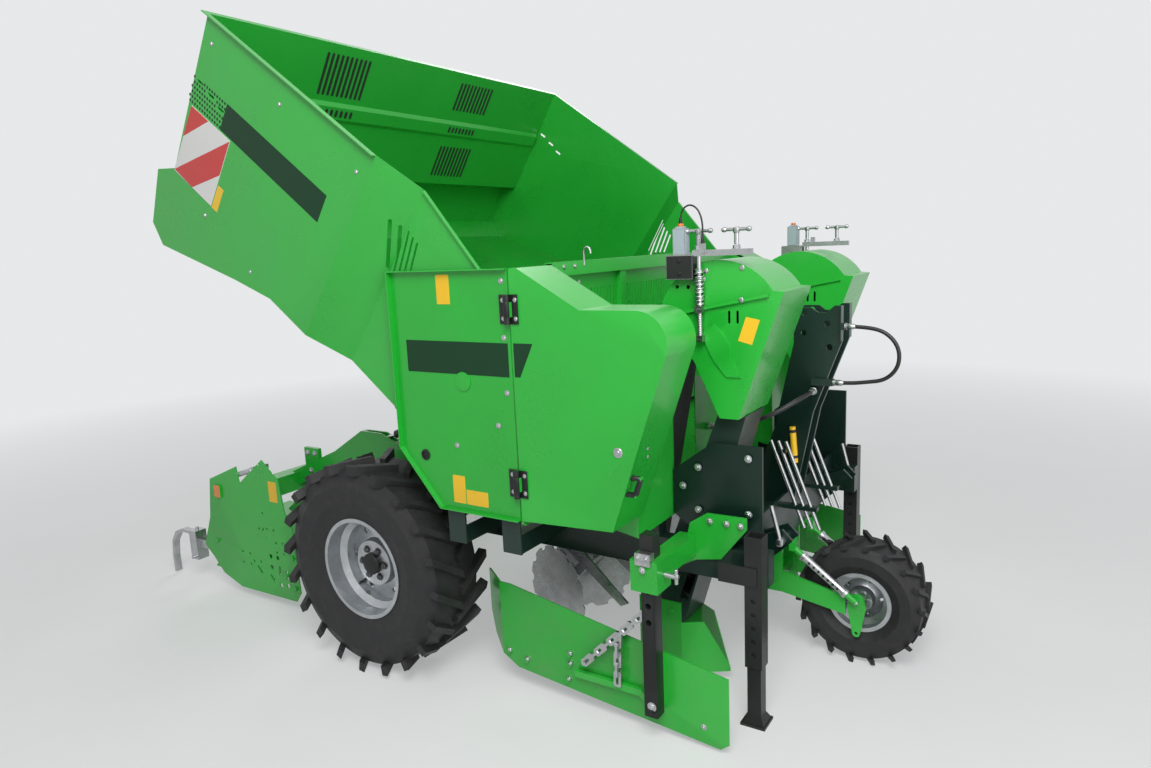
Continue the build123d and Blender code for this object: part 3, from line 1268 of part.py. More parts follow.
save_pair(arm, "shield_arm")

# Chains that hold the shields up: links of square bar in turn flat and upright
chain_x = 918.0
link_l = 62.0
link_w = 30.0
link_bar = 10.0
chain_runs = [((1215.0, 452.0), (970.0, 213.0)), ((1112.0, 352.0), (1104.0, 166.0))]
chain_plate_w = 20.0
chain_plate_t = 8.0
chain_plate_h = 40.0
chain_pin_r = 8.0


def chain_link(centre, direction, flat):
    side = Vector(1, 0, 0) if flat else Vector(1, 0, 0).cross(direction)
    place = Plane(origin=centre, x_dir=direction, z_dir=side)
    with BuildSketch(place.offset(-link_bar / 2)) as face:
        RectangleRounded(link_l, link_w, link_w / 3)
        RectangleRounded(link_l - 2 * link_bar, link_w - 2 * link_bar, link_w / 8, mode=Mode.SUBTRACT)
    extrude(face.sketch, amount=link_bar)


with BuildPart() as chain:
    for start, end in chain_runs:
        low = Vector(chain_x, along(start[0]), start[1])
        reach = Vector(chain_x, along(end[0]), end[1]) - low
        pitch = link_l - 2 * link_bar
        count = int(reach.length / pitch) + 1
        for index in range(count):
            centre = low + reach * ((index + 0.5) / count)
            chain_link(centre, reach.normalized(), index % 2 == 0)
    # The top end's plate on the post and the foot's pin in the shield
    top_z = chain_runs[0][0][1]
    foot_fwd_at, foot_z_at = chain_runs[0][1]
    block(chain_x - chain_plate_w / 2, chain_x + chain_plate_w / 2, chain_runs[0][0][0] - chain_plate_t,
          post_fwd - post_s / 2, top_z - chain_plate_h / 2, top_z + chain_plate_h / 2)
    shield_share = (foot_fwd_at - shield_curl_fwd) / (shield_front_fwd - shield_curl_fwd)
    cross_pin(shield_rear_x + shield_share * (shield_front_x - shield_rear_x) + seat_gap / 2,
              chain_x + link_w / 2, foot_fwd_at, foot_z_at, chain_pin_r)
with BuildPart() as chains:
    add(chain.part)
    mirror(chain.part, about=Plane.YZ)
save(chains, "shield_chains")

# Parking legs in sleeves beside the rails
leg_x = 661.0
leg_fwd = 1522.0
leg_s = 50.0
leg_clear = 1.0
sleeve_s = 62.0
sleeve_low_z = 220.0
sleeve_top_z = 700.0
leg_top_z = 580.0
foot_s = 90.0
foot_t = 10.0
foot_rise = 30.0
leg_plate_low = 524.0
leg_plate_high = 592.0
leg_plate_rear = 1397.0
leg_plate_front = 1537.0
leg_plate_t = 6.0
leg_hole_count = 5
leg_hole_pitch = 50.0
leg_pin_r = 8.0

with BuildPart() as sleeve:
    block(leg_x - sleeve_s / 2, leg_x + sleeve_s / 2, leg_fwd - sleeve_s / 2, leg_fwd + sleeve_s / 2,
          sleeve_low_z, sleeve_top_z)
    sleeve_in = leg_s + 2 * leg_clear
    block(leg_x - sleeve_in / 2, leg_x + sleeve_in / 2, leg_fwd - sleeve_in / 2, leg_fwd + sleeve_in / 2,
          sleeve_low_z - overrun, sleeve_top_z + overrun, mode=Mode.SUBTRACT)
    block(leg_x + sleeve_s / 2, leg_x + sleeve_s / 2 + leg_plate_t, leg_plate_rear, leg_plate_front,
          leg_plate_low, leg_plate_high)
    for index in range(leg_hole_count):
        cross_pin(leg_x - sleeve_s, leg_x + sleeve_s, leg_fwd,
                  sleeve_low_z + leg_hole_pitch * (index + 1), leg_pin_r, mode=Mode.SUBTRACT)
save_pair(sleeve, "leg_sleeve")

with BuildPart() as leg:
    block(leg_x - leg_s / 2, leg_x + leg_s / 2, leg_fwd - leg_s / 2, leg_fwd + leg_s / 2,
          foot_t / 2, leg_top_z)
    block(leg_x - foot_s / 2, leg_x + foot_s / 2, leg_fwd - foot_s / 2, leg_fwd + foot_s / 2, 0, foot_t)
    with BuildSketch(Plane.XY.offset(foot_t)) as web:
        with Locations((leg_x, along(leg_fwd))):
            Rectangle(foot_s - foot_t, foot_s - foot_t)
    extrude(web.sketch, amount=foot_rise, taper=30)
save_pair(leg, "parking_leg")

# Ridger: side plates, a sheet that shapes two ridges, a beam and two lifting arms
side_out = 856.0
side_t = 6.0
side_rear_fwd = hood_rear_fwd
side_front_fwd = -692.0
side_low_z = 47.0
side_top_z = 748.0
side_shares = [(0.15, 0.79), (0.46, 0.92), (0.48, 0.8), (0.74, 1.0), (0.89, 0.87), (0.92, 0.65),
               (0.98, 0.56), (1.0, 0.08), (0.95, 0.01), (0.38, 0.0), (0.19, 0.07), (0.09, 0.18),
               (0.0, 0.26), (0.1, 0.49)]
small_hole_r = 7.0
large_hole_r = 12.0
small_hole_shares = [(0.69, 0.61), (0.64, 0.49), (0.68, 0.49), (0.72, 0.5), (0.79, 0.5), (0.8, 0.41),
                     (0.87, 0.42), (0.8, 0.34), (0.87, 0.34), (0.43, 0.28), (0.51, 0.28), (0.55, 0.23),
                     (0.62, 0.24), (0.43, 0.2), (0.51, 0.2)]
large_hole_shares = [(0.73, 0.3), (0.8, 0.3), (0.73, 0.22), (0.81, 0.1), (0.88, 0.11)]
top_hole_shares = [(0.6, 0.93), (0.65, 0.94), (0.7, 0.96), (0.56, 0.9), (0.84, 0.92)]
upright_slot_shares = [(0.81, 0.21), (0.88, 0.19)]
slant_slot_places = ((-990.0, 171.0), (-894.0, 142.0))
side_slot_l = 50.0
side_bolt_shares = [(0.16, 0.32), (0.96, 0.33), (0.96, 0.11), (0.88, 0.19)]
reflector_fwd = -1262.0
reflector_z = 545.0
reflector_w = 44.0
reflector_h = 66.0
reflector_t = 9.0

with BuildPart() as ridger_side:
    side_prism(side_out - side_t, side_out,
               spread(side_shares, side_rear_fwd, side_front_fwd, side_low_z, side_top_z))
    for shares, radius in ((small_hole_shares, small_hole_r), (large_hole_shares, large_hole_r),
                           (top_hole_shares, small_hole_r)):
        for fwd, height in spread(shares, side_rear_fwd, side_front_fwd, side_low_z, side_top_z):
            cross_pin(side_out - 2 * side_t, side_out + side_t, fwd, height, radius, mode=Mode.SUBTRACT)
    for fwd, height in spread(upright_slot_shares, side_rear_fwd, side_front_fwd, side_low_z, side_top_z):
        cross_slot(side_out - 2 * side_t, side_out + side_t, fwd, height, side_slot_l, small_hole_r, 90)
    for fwd, height in slant_slot_places:
        cross_slot(side_out - 2 * side_t, side_out + side_t, fwd, height, side_slot_l, small_hole_r, -45)
    for fwd, height in spread(side_bolt_shares, side_rear_fwd, side_front_fwd, side_low_z, side_top_z):
        cross_pin(side_out, side_out + bolt_h, fwd, height, bolt_r)
    block(side_out, side_out + reflector_t, reflector_fwd - reflector_w / 2, reflector_fwd + reflector_w / 2,
          reflector_z - reflector_h / 2, reflector_z + reflector_h / 2)
save_pair(ridger_side, "ridger_side")

# The sheet's section: a ridge over each row between low furrows
ridge_t = 5.0
ridge_rear_fwd = -1370.0
ridge_front_fwd = -900.0
ridge_low_z = 90.0
ridge_top_z = 330.0
ridge_half = 90.0
ridger_beam_fwd = -900.0
ridger_beam_z = 600.0
ridger_beam_s = 90.0
hanger_xs = (-780.0, -450.0, 0.0, 450.0, 780.0)
hanger_w = 16.0
hanger_rear_fwd = -1260.0
hanger_foot_fwd = -960.0
hanger_drop = 12.0


def ridge_height(x):
    share = (abs(abs(x) - row_x) - ridge_half) / (row_x - ridge_half)
    return ridge_top_z - max(0.0, min(1.0, share)) * (ridge_top_z - ridge_low_z)


with BuildPart() as hood:
    ridge_outer = side_out - side_t
    crests = [-ridge_outer, -row_x - ridge_half, -row_x + ridge_half, 0, row_x - ridge_half,
              row_x + ridge_half, ridge_outer]
    upper = [(x, ridge_height(x)) for x in crests]
    lower = [(x, ridge_height(x) - ridge_t) for x in crests]
    with BuildSketch(Plane.XZ.offset(-along(ridge_front_fwd))):
        with BuildLine():
            Polyline(*upper, *reversed(lower), close=True)
        make_face()
    extrude(amount=ridge_front_fwd - ridge_rear_fwd)
    for x in hanger_xs:
        low_z = ridge_height(abs(x) + hanger_w / 2) - ridge_t / 2
        beam_rear, beam_low = ridger_beam_fwd - ridger_beam_s / 2, ridger_beam_z - ridger_beam_s / 2
        side_prism(x - hanger_w / 2, x + hanger_w / 2,
                   [(hanger_rear_fwd, low_z), (hanger_foot_fwd, low_z),
                    (ridger_beam_fwd, low_z + hanger_drop), (ridger_beam_fwd, beam_low),
                    (beam_rear, beam_low)])
save(hood, "ridger_hood")

arm_shares = [(0.0, 0.0), (0.0, 0.24), (0.39, 0.66), (0.61, 1.0), (0.76, 1.0), (1.0, 0.75), (1.0, 0.6),
              (0.74, 0.62), (0.44, 0.51)]
arm_rear_fwd = -900.0
arm_front_fwd = -30.0
arm_low_z = 560.0
arm_top_z = 900.0
lift_slot_back = 45.0
lift_slot_reach = 140.0
lift_slot_drop = 28.0
tower_rear_fwd = -797.0
tower_front_fwd = -696.0
tower_top_z = 778.0

with BuildPart() as ridger_arms:
    block(-ridge_outer, ridge_outer, ridger_beam_fwd - ridger_beam_s / 2, ridger_beam_fwd + ridger_beam_s / 2,
          ridger_beam_z - ridger_beam_s / 2, ridger_beam_z + ridger_beam_s / 2)
    near, far = ridger_arm_x - ridger_arm_w / 2, ridger_arm_x + ridger_arm_w / 2
    both_sides(side_prism, near, far,
               spread(arm_shares, arm_rear_fwd, arm_front_fwd, arm_low_z, arm_top_z))
    both_sides(cross_pin, near, far, ridger_pivot_fwd, ridger_pivot_z, 2 * ridger_pin_r)
    both_sides(cross_pin, near - overrun, far + overrun, ridger_pivot_fwd, ridger_pivot_z,
               ridger_pin_r + running_gap, mode=Mode.SUBTRACT)
    # A slot for the lift cylinder's rod with its pin across it, and a low tower near the beam
    slot_half = (lift_eye_w + lift_slack) / 2
    both_sides(block, ridger_arm_x - slot_half, ridger_arm_x + slot_half, lift_tower_fwd - lift_slot_back,
               lift_tower_fwd + lift_slot_reach, lift_tower_z - lift_slot_drop, arm_top_z + overrun,
               mode=Mode.SUBTRACT)
    both_sides(cross_pin, near, far, lift_tower_fwd, lift_tower_z, lift_tower_pin_r)
    both_sides(block, near + ridger_arm_w / 4, far - ridger_arm_w / 4, tower_rear_fwd, tower_front_fwd,
               ridger_beam_z + ridger_beam_s / 2, tower_top_z)
save(ridger_arms, "ridger_arms")

# Ridger's fittings: clamped wheel-mark tines behind it and a bar along each side plate's top
tine_shares = [(1.0, 0.98), (0.5, 1.0), (0.23, 0.9), (0.06, 0.68), (0.0, 0.36), (0.01, 0.0), (0.075, 0.0),
               (0.07, 0.36), (0.13, 0.665), (0.28, 0.84), (0.52, 0.94), (1.0, 0.92)]
tine_root_fwd = -1530.0
tine_low_z = 15.0
tine_top_z = 280.0
tine_half_w = 17.0
clamp_rear_fwd = -1560.0
clamp_front_fwd = -1500.0
clamp_low_z = 132.0
clamp_top_z = 290.0
clamp_wall = 14.0
stub_fwd = -1330.0
stub_low_z = 200.0
stub_high_z = 245.0
stub_t = 24.0
clamp_bolt_r = 9.0
top_bar_r = 9.0
top_bar_rear = (-1255.0, 600.0)
top_bar_front = (-880.0, 716.0)
top_bar_pad = 22.0

with BuildPart() as fitting:
    tine_x = side_out - side_t - stub_t / 2
    side_prism(tine_x - tine_half_w, tine_x + tine_half_w,
               spread(tine_shares, -rear_reach, tine_root_fwd, tine_low_z, tine_top_z))
    block(tine_x - tine_half_w - clamp_wall, tine_x + tine_half_w + clamp_wall, clamp_rear_fwd,
          clamp_front_fwd, clamp_low_z, clamp_top_z)
    block(tine_x - tine_half_w, tine_x + tine_half_w, clamp_rear_fwd + clamp_wall,
          clamp_front_fwd - clamp_wall, clamp_low_z - overrun, clamp_top_z - 2 * clamp_wall,
          mode=Mode.SUBTRACT)
    upright_pin(tine_x, (clamp_rear_fwd + clamp_front_fwd) / 2, clamp_top_z - clamp_wall,
                clamp_top_z + clamp_wall, clamp_bolt_r)
    cross_pin(tine_x - tine_half_w - 2 * clamp_wall, tine_x + tine_half_w + 2 * clamp_wall,
              (clamp_rear_fwd + clamp_front_fwd) / 2, clamp_low_z + clamp_wall, clamp_bolt_r)
    block(tine_x - stub_t / 2, tine_x + stub_t / 2, clamp_front_fwd - clamp_wall, stub_fwd,
          stub_low_z, stub_high_z)
    bar_x = side_out - side_t - top_bar_r - sheet
    rod((bar_x, *top_bar_rear), (bar_x, *top_bar_front), top_bar_r)
    for fwd, height in (top_bar_rear, top_bar_front):
        block(bar_x - top_bar_r, side_out - side_t, fwd - top_bar_pad / 2, fwd + top_bar_pad / 2,
              height - top_bar_pad / 2, height + top_bar_pad / 2)
with BuildPart() as fittings:
    add(fitting.part)
    mirror(fitting.part, about=Plane.YZ)
save(fittings, "ridger_fittings")

# Lift cylinders of the ridger
lift_plane, lift_length = cylinder_frame(ridger_arm_x, (lift_eye_fwd, lift_eye_z),
                                         (lift_tower_fwd, lift_tower_z))
lift_barrel_end = 190.0
lift_rod_inside = 200.0

with BuildPart() as lift_barrel:
    with BuildSketch(lift_plane.offset(lift_pin_r + sheet)):
        Circle(lift_barrel_r)
    extrude(amount=lift_barrel_end - lift_pin_r - sheet)
    cross_pin(ridger_arm_x - lift_eye_w / 2, ridger_arm_x + lift_eye_w / 2, lift_eye_fwd, lift_eye_z, lug_r)
    cross_pin(ridger_arm_x - lift_barrel_r, ridger_arm_x + lift_barrel_r, lift_eye_fwd, lift_eye_z,
              lift_pin_r + running_gap, mode=Mode.SUBTRACT)
    with BuildSketch(lift_plane.offset(lug_r + lift_pin_r)):
        Circle(lift_rod_r + running_gap)
    extrude(amount=lift_barrel_end, mode=Mode.SUBTRACT)
save_pair(lift_barrel, "lift_barrel")

with BuildPart() as lift_rod:
    with BuildSketch(lift_plane.offset(lift_length - lift_rod_inside)):
        Circle(lift_rod_r)
    extrude(amount=lift_rod_inside - lift_tower_pin_r - lift_slack - lift_ring_t / 2)
    cross_pin(ridger_arm_x - lift_eye_w / 2, ridger_arm_x + lift_eye_w / 2, lift_tower_fwd, lift_tower_z,
              lift_tower_pin_r + lift_slack + lift_ring_t)
    cross_pin(ridger_arm_x - lift_eye_w, ridger_arm_x + lift_eye_w, lift_tower_fwd, lift_tower_z,
              lift_tower_pin_r + lift_slack, mode=Mode.SUBTRACT)
save_pair(lift_rod, "lift_rod")

# Adjusters on the elements: a screw with its spring, a top bar, two handles and a sensor box
adjuster_fwd = 1310.0
adjuster_low_z = 1357.0
adjuster_top_z = 1700.0
screw_r = 8.0
adjuster_x = element_out + fold_w + screw_r
spring_r = 14.0
spring_low_z = 1484.0
spring_turns = 6
spring_pitch = 22.0
spring_disc_t = 9.0
fold_rest_z = 1458.0
top_rod_z = 1660.0
top_rod_half = 10.0
top_rod_rear = 1290.0
top_rod_front = 1500.0
handle_fwds = (1310.0, 1446.0)
handle_half_l = 48.0
handle_r = 6.0
handle_rise = 34.0
grey_rear_fwd = 1194.0
grey_front_fwd = 1292.0
grey_low_z = 1573.0
grey_top_z = 1655.0
grey_w = 35.0
sensor_w = 34.0
sensor_rear_fwd = 1222.0
sensor_front_fwd = 1268.0
sensor_h = 90.0
plug_r = 9.0
plug_h = 16.0
cable_d = 6.0
cable_start = (adjuster_x, (sensor_rear_fwd + sensor_front_fwd) / 2, grey_top_z + sensor_h + plug_h)
cable_end = (635.0, 1332.0, 1692.0)
clip_half = 9.0

with BuildPart() as adjuster:
    upright_pin(adjuster_x, adjuster_fwd, adjuster_low_z, adjuster_top_z, screw_r)
    for index in range(spring_turns):
        low_z = spring_low_z + index * spring_pitch
        upright_pin(adjuster_x, adjuster_fwd, low_z, low_z + spring_disc_t, spring_r)
    for height, face_x in ((adjuster_low_z, element_out + guard_t), (fold_rest_z, element_out + fold_w)):
        block(face_x, adjuster_x + spring_r, adjuster_fwd - spring_r, adjuster_fwd + spring_r,
              height, height + spring_pitch)
    block(adjuster_x - top_rod_half, adjuster_x + top_rod_half, top_rod_rear, top_rod_front,
          top_rod_z - top_rod_half, top_rod_z + top_rod_half)
    for fwd in handle_fwds:
        upright_pin(adjuster_x, fwd, top_rod_z, adjuster_top_z + handle_rise, screw_r)
        rod((adjuster_x, fwd - handle_half_l, adjuster_top_z + handle_rise),
            (adjuster_x, fwd + handle_half_l, adjuster_top_z + handle_rise), handle_r)
    block(element_out, element_out + grey_w, grey_rear_fwd, grey_front_fwd, grey_low_z, grey_top_z)
    block(adjuster_x - sensor_w / 2, adjuster_x + sensor_w / 2, sensor_rear_fwd, sensor_front_fwd,
          grey_top_z, grey_top_z + sensor_h)
    upright_pin(cable_start[0], cable_start[1], grey_top_z + sensor_h, cable_start[2], plug_r)
    block(adjuster_x + top_rod_half, cable_end[0] + clip_half, cable_end[1] - clip_half,
          cable_end[1] + clip_half, top_rod_z, cable_end[2])
save_pair(adjuster, "adjuster")

# Hoses and a cable: straight runs joined by arcs, each arc as large as its two runs allow
arc_share = 0.45


def tube(name, route, diameter):
    places = [Vector(x, along(fwd), height) for x, fwd, height in route]
    radii = []
    with BuildPart() as hose:
        with BuildLine() as path:
            start = places[0]
            for before, corner, after in zip(places, places[1:], places[2:]):
                back, ahead = before - corner, after - corner
                leg = arc_share * min(back.length, ahead.length)
                half_turn = radians((180 - back.get_angle(ahead)) / 2)
                radii.append(leg / tan(half_turn))
                enter = corner + back.normalized() * leg
                leave = corner + ahead.normalized() * leg
                Line(start, enter)
                TangentArc(enter, leave, tangent=corner - enter)
                start = leave
            Line(start, places[-1])
        length = path.wire().length
        with BuildSketch(Plane(origin=places[0], z_dir=(places[1] - places[0]).normalized())):
            Circle(diameter / 2)
        sweep(path=path.wire())
    section = pi * diameter ** 2 / 4
    print(name, "length", round(length), "radii", [round(radius) for radius in radii],
          "volume share", round(hose.part.volume / (section * length), 4))
    save(hose, name)


tube("hose_front", [loop_start, (71.0, 1735.0, 1356.0), (77.0, 1812.0, 1340.0), (84.0, 1862.0, 1284.0),
                    (84.0, 1862.0, 1210.0), (80.0, 1815.0, 1158.0), (76.0, 1745.0, 1146.0),
                    (76.0, 1682.0, 1138.0), loop_end], loop_hose_d)
tube("hose_bundle", [bundle_start, (147.0, 1545.0, 1100.0), (212.0, 1515.0, 1080.0),
                     (256.0, 1458.0, 1042.0), (272.0, 1380.0, 1006.0), (264.0, 1300.0, 980.0),
                     (250.0, 1237.0, 965.0), bundle_end], bundle_d)
tube("sensor_cable", [cable_start, (620.0, 1245.0, 1790.0), (623.0, 1259.0, 1815.0),
                      (630.0, 1286.0, 1824.0), (635.0, 1313.0, 1810.0), (637.0, 1328.0, 1783.0),
                      (636.0, 1333.0, 1752.0), (635.0, 1332.0, 1721.0), cable_end], cable_d)
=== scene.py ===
import math

import bmesh
import bpy
from mathutils import Matrix, Vector
from mathutils.bvhtree import BVHTree


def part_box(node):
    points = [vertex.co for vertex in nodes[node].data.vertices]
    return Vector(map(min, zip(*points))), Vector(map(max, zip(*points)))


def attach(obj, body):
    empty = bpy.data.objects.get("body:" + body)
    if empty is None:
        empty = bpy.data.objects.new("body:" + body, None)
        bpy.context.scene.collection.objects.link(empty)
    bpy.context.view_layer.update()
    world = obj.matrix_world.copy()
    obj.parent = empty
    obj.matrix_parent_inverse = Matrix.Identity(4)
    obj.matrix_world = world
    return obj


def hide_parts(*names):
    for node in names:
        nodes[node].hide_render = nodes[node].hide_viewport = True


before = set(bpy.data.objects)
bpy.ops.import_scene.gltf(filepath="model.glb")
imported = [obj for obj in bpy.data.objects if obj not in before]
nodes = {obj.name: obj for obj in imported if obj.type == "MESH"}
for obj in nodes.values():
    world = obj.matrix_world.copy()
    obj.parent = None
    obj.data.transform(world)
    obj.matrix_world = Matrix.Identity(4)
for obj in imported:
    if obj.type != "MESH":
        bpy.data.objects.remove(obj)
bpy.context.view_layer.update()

# Two-row potato planter. The frame is in metres and forwards is +Y. Places along the machine are
# given from the rear axle, as in the source, and sizes are in millimetres.
tyre_low, tyre_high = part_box("rear_tyre_right")
AXLE_Y = (tyre_low.y + tyre_high.y) / 2
MM = 0.001
SIDES = ((1, "right"), (-1, "left"))
FORWARDS = Vector((0, 1, 0))
UPWARDS = Vector((0, 0, 1))


def at(x, fwd, z):
    """A place given in millimetres from the rear axle, in metres in the frame."""
    return Vector((x * MM, AXLE_Y + fwd * MM, z * MM))


def outwards(side):
    """The way that one side of the machine looks."""
    return Vector((side, 0, 0))


# Camera, at the photograph's viewing angle
EYE = at(3175, 2442, 1709)
VIEW_TURN, VIEW_DOWN, VIEW_ROLL = math.radians(122.924), math.radians(9.906), math.radians(-2.534)
FOCAL_PX = 801.4
PHOTO_W, PHOTO_H = 1151, 768
SENSOR_WIDTH = 36.0
CLIP_END = 200


def camera_axes():
    """Which ways the camera's right, up and ahead point."""
    ahead = Vector((-math.cos(VIEW_DOWN) * math.sin(VIEW_TURN),
                    math.cos(VIEW_DOWN) * math.cos(VIEW_TURN), -math.sin(VIEW_DOWN)))
    right = ahead.cross(UPWARDS).normalized()
    up = right.cross(ahead)
    return (math.cos(VIEW_ROLL) * right + math.sin(VIEW_ROLL) * up,
            -math.sin(VIEW_ROLL) * right + math.cos(VIEW_ROLL) * up, ahead)


RIGHT, UP, AHEAD = camera_axes()


def make_camera():
    lens = bpy.data.cameras.new("camera")
    lens.sensor_width = SENSOR_WIDTH
    lens.lens = FOCAL_PX / PHOTO_W * SENSOR_WIDTH
    lens.clip_end = CLIP_END
    camera = bpy.data.objects.new("camera", lens)
    turn = Matrix((RIGHT, UP, -AHEAD)).transposed()
    camera.matrix_world = Matrix.Translation(EYE) @ turn.to_4x4()
    bpy.context.scene.collection.objects.link(camera)
    bpy.context.scene.camera = camera


make_camera()


# Material nodes
MIX_FACTOR, MIX_FIRST, MIX_SECOND, MIX_COLOR = 0, 6, 7, 2


def shade(name, color, rough, metal=0.0):
    """A material with its shader, ready for more nodes."""
    material = bpy.data.materials.new(name)
    material.use_nodes = True
    tree = material.node_tree
    shader = tree.nodes["Principled BSDF"]
    shader.inputs["Base Color"].default_value = (*color, 1)
    shader.inputs["Roughness"].default_value = rough
    shader.inputs["Metallic"].default_value = metal
    return material, tree, shader


def noise(tree, scale, detail=4.0, rough=0.6, stretch=(1, 1, 1)):
    coords = tree.nodes.new("ShaderNodeTexCoord")
    place = tree.nodes.new("ShaderNodeMapping")
    place.inputs["Scale"].default_value = stretch
    tree.links.new(coords.outputs["Object"], place.inputs["Vector"])
    made = tree.nodes.new("ShaderNodeTexNoise")
    made.inputs["Scale"].default_value = scale
    made.inputs["Detail"].default_value = detail
    made.inputs["Roughness"].default_value = rough
    tree.links.new(place.outputs["Vector"], made.inputs["Vector"])
    return made.outputs["Fac"]


def ramp(tree, source, reach, colors):
    """A source turned into colours, from the first at one end of its reach to the second."""
    made = tree.nodes.new("ShaderNodeValToRGB")
    for element, position, color in zip(made.color_ramp.elements, reach, colors):
        element.position = position
        element.color = (*color, 1)
    tree.links.new(source, made.inputs["Fac"])
    return made.outputs["Color"]


def grey(tree, source, reach, values):
    """A source's reach mapped onto two values, and held at them outside it."""
    made = tree.nodes.new("ShaderNodeMapRange")
    for label, value in zip(("From Min", "From Max", "To Min", "To Max"), (*reach, *values)):
        made.inputs[label].default_value = value
    tree.links.new(source, made.inputs["Value"])
    return made.outputs["Result"]


def bump(tree, shader, source, strength, distance):
    made = tree.nodes.new("ShaderNodeBump")
    made.inputs["Strength"].default_value = strength
    made.inputs["Distance"].default_value = distance
    tree.links.new(source, made.inputs["Height"])
    previous = shader.inputs["Normal"].links
    if previous:
        tree.links.new(previous[0].from_socket, made.inputs["Normal"])
    tree.links.new(made.outputs["Normal"], shader.inputs["Normal"])


def mix(tree, factor, source, color):
    """A source mixed with one plain colour."""
    made = tree.nodes.new("ShaderNodeMix")
    made.data_type = "RGBA"
    tree.links.new(factor, made.inputs[MIX_FACTOR])
    tree.links.new(source, made.inputs[MIX_FIRST])
    made.inputs[MIX_SECOND].default_value = (*color, 1)
    return made.outputs[MIX_COLOR]


def joined(tree, kind, first, second):
    made = tree.nodes.new("ShaderNodeMath")
    made.operation = kind
    tree.links.new(first, made.inputs[0])
    tree.links.new(second, made.inputs[1])
    return made.outputs[0]


def part_of(tree, source, label):
    """One of a vector's three values."""
    split = tree.nodes.new("ShaderNodeSeparateXYZ")
    tree.links.new(source, split.inputs["Vector"])
    return split.outputs[label]


def times(color, share, lift=0.0):
    return tuple(min(1, value * share + lift) for value in color)


# Materials
MOTTLE = (0.3, 0.7)
FLAT_TOP, TOP_DUST = (0.75, 1.0), 0.7
DUSTY_HEIGHT = (0.55, 0.05)
# PAINT_EDGE is the reach of sharpness over which paint edges take the painted highlight, up to its share.
PAINT_DUST, PAINT_EDGE, PAINT_EDGE_HIGHLIGHT_SHARE = (0.42, 0.75), (0.535, 0.60), 0.45
RUBBER_MOTTLE, RUBBER_DUST = (0.35, 0.75), (0.5, 0.8)
# RUBBER_EDGE is the reach of sharpness over which rubber edges take the painted highlight, up to its share.
RUBBER_EDGE, RUBBER_EDGE_HIGHLIGHT_SHARE = (0.52, 0.62), 0.25


def paint(name, color, dusty=(0.19, 0.20, 0.15), rough=0.3, coat=0.25, dirt=0.3, edge=1.3, shine=0.5):
    """Gloss paint with light orange peel, a thin film of field dust low down and on flat tops, and a painted
    highlight that lightens sharp edges.
    """
    material, tree, shader = shade(name, color, rough)
    shader.inputs["Specular IOR Level"].default_value = shine
    shader.inputs["Coat Weight"].default_value = coat
    shader.inputs["Coat Roughness"].default_value = 0.1
    cloud = noise(tree, 2.3, 5)
    tone = ramp(tree, cloud, MOTTLE, (times(color, 0.93), times(color, 1.05)))
    place = tree.nodes.new("ShaderNodeNewGeometry")
    tops = grey(tree, part_of(tree, place.outputs["Normal"], "Z"), FLAT_TOP, (0.0, TOP_DUST))
    ground = grey(tree, part_of(tree, place.outputs["Position"], "Z"), DUSTY_HEIGHT, (0.0, 1.0))
    film = joined(tree, "MULTIPLY", joined(tree, "MAXIMUM", tops, ground),
                  grey(tree, noise(tree, 7, 6, 0.7), PAINT_DUST, (0.0, dirt)))
    tone = mix(tree, film, tone, dusty)
    # Painted highlight: sharp edges are lightened towards a brighter copy of the paint's colour, standing in
    # for light caught on them.
    edges = grey(tree, place.outputs["Pointiness"], PAINT_EDGE, (0.0, PAINT_EDGE_HIGHLIGHT_SHARE))
    tone = mix(tree, edges, tone, times(color, edge, 0.02))
    tree.links.new(tone, shader.inputs["Base Color"])
    tree.links.new(grey(tree, cloud, MOTTLE, (rough - 0.07, rough + 0.09)), shader.inputs["Roughness"])
    bump(tree, shader, noise(tree, 260, 2), 0.05, 0.0004)
    bump(tree, shader, noise(tree, 95, 3, 0.7), 0.04, 0.0006)
    return material


def metal(name, color, rough):
    """Bare metal with a cloudy tone and fine scratches along it."""
    material, tree, shader = shade(name, color, rough, 1.0)
    cloud = noise(tree, 16, 5, 0.7)
    fine = noise(tree, 180, 3, 0.7, (1, 0.2, 1))
    tree.links.new(ramp(tree, cloud, MOTTLE, (times(color, 0.72), color)), shader.inputs["Base Color"])
    tree.links.new(grey(tree, fine, MOTTLE, (rough - 0.1, rough + 0.14)), shader.inputs["Roughness"])
    bump(tree, shader, fine, 0.06, 0.0005)
    return material


def rubber(name, color, rough, dusty, dirt):
    """Dull rubber with dry soil in patches, and sharp edges made paler by a painted highlight."""
    material, tree, shader = shade(name, color, rough)
    cloud = noise(tree, 9, 6, 0.7)
    tone = ramp(tree, cloud, RUBBER_MOTTLE, (color, times(color, 1.7)))
    place = tree.nodes.new("ShaderNodeNewGeometry")
    soil = grey(tree, noise(tree, 22, 7, 0.75), RUBBER_DUST, (0.0, dirt))
    tone = mix(tree, soil, tone, dusty)
    # Painted highlight: sharp edges are lightened, standing in for light caught on the edges of the lugs.
    edge_highlight = grey(tree, place.outputs["Pointiness"], RUBBER_EDGE, (0.0, RUBBER_EDGE_HIGHLIGHT_SHARE))
    tone = mix(tree, edge_highlight, tone, times(color, 2.6))
    tree.links.new(tone, shader.inputs["Base Color"])
    tree.links.new(grey(tree, cloud, MOTTLE, (rough - 0.12, rough + 0.1)), shader.inputs["Roughness"])
    bump(tree, shader, noise(tree, 140, 5, 0.7), 0.2, 0.001)
    return material


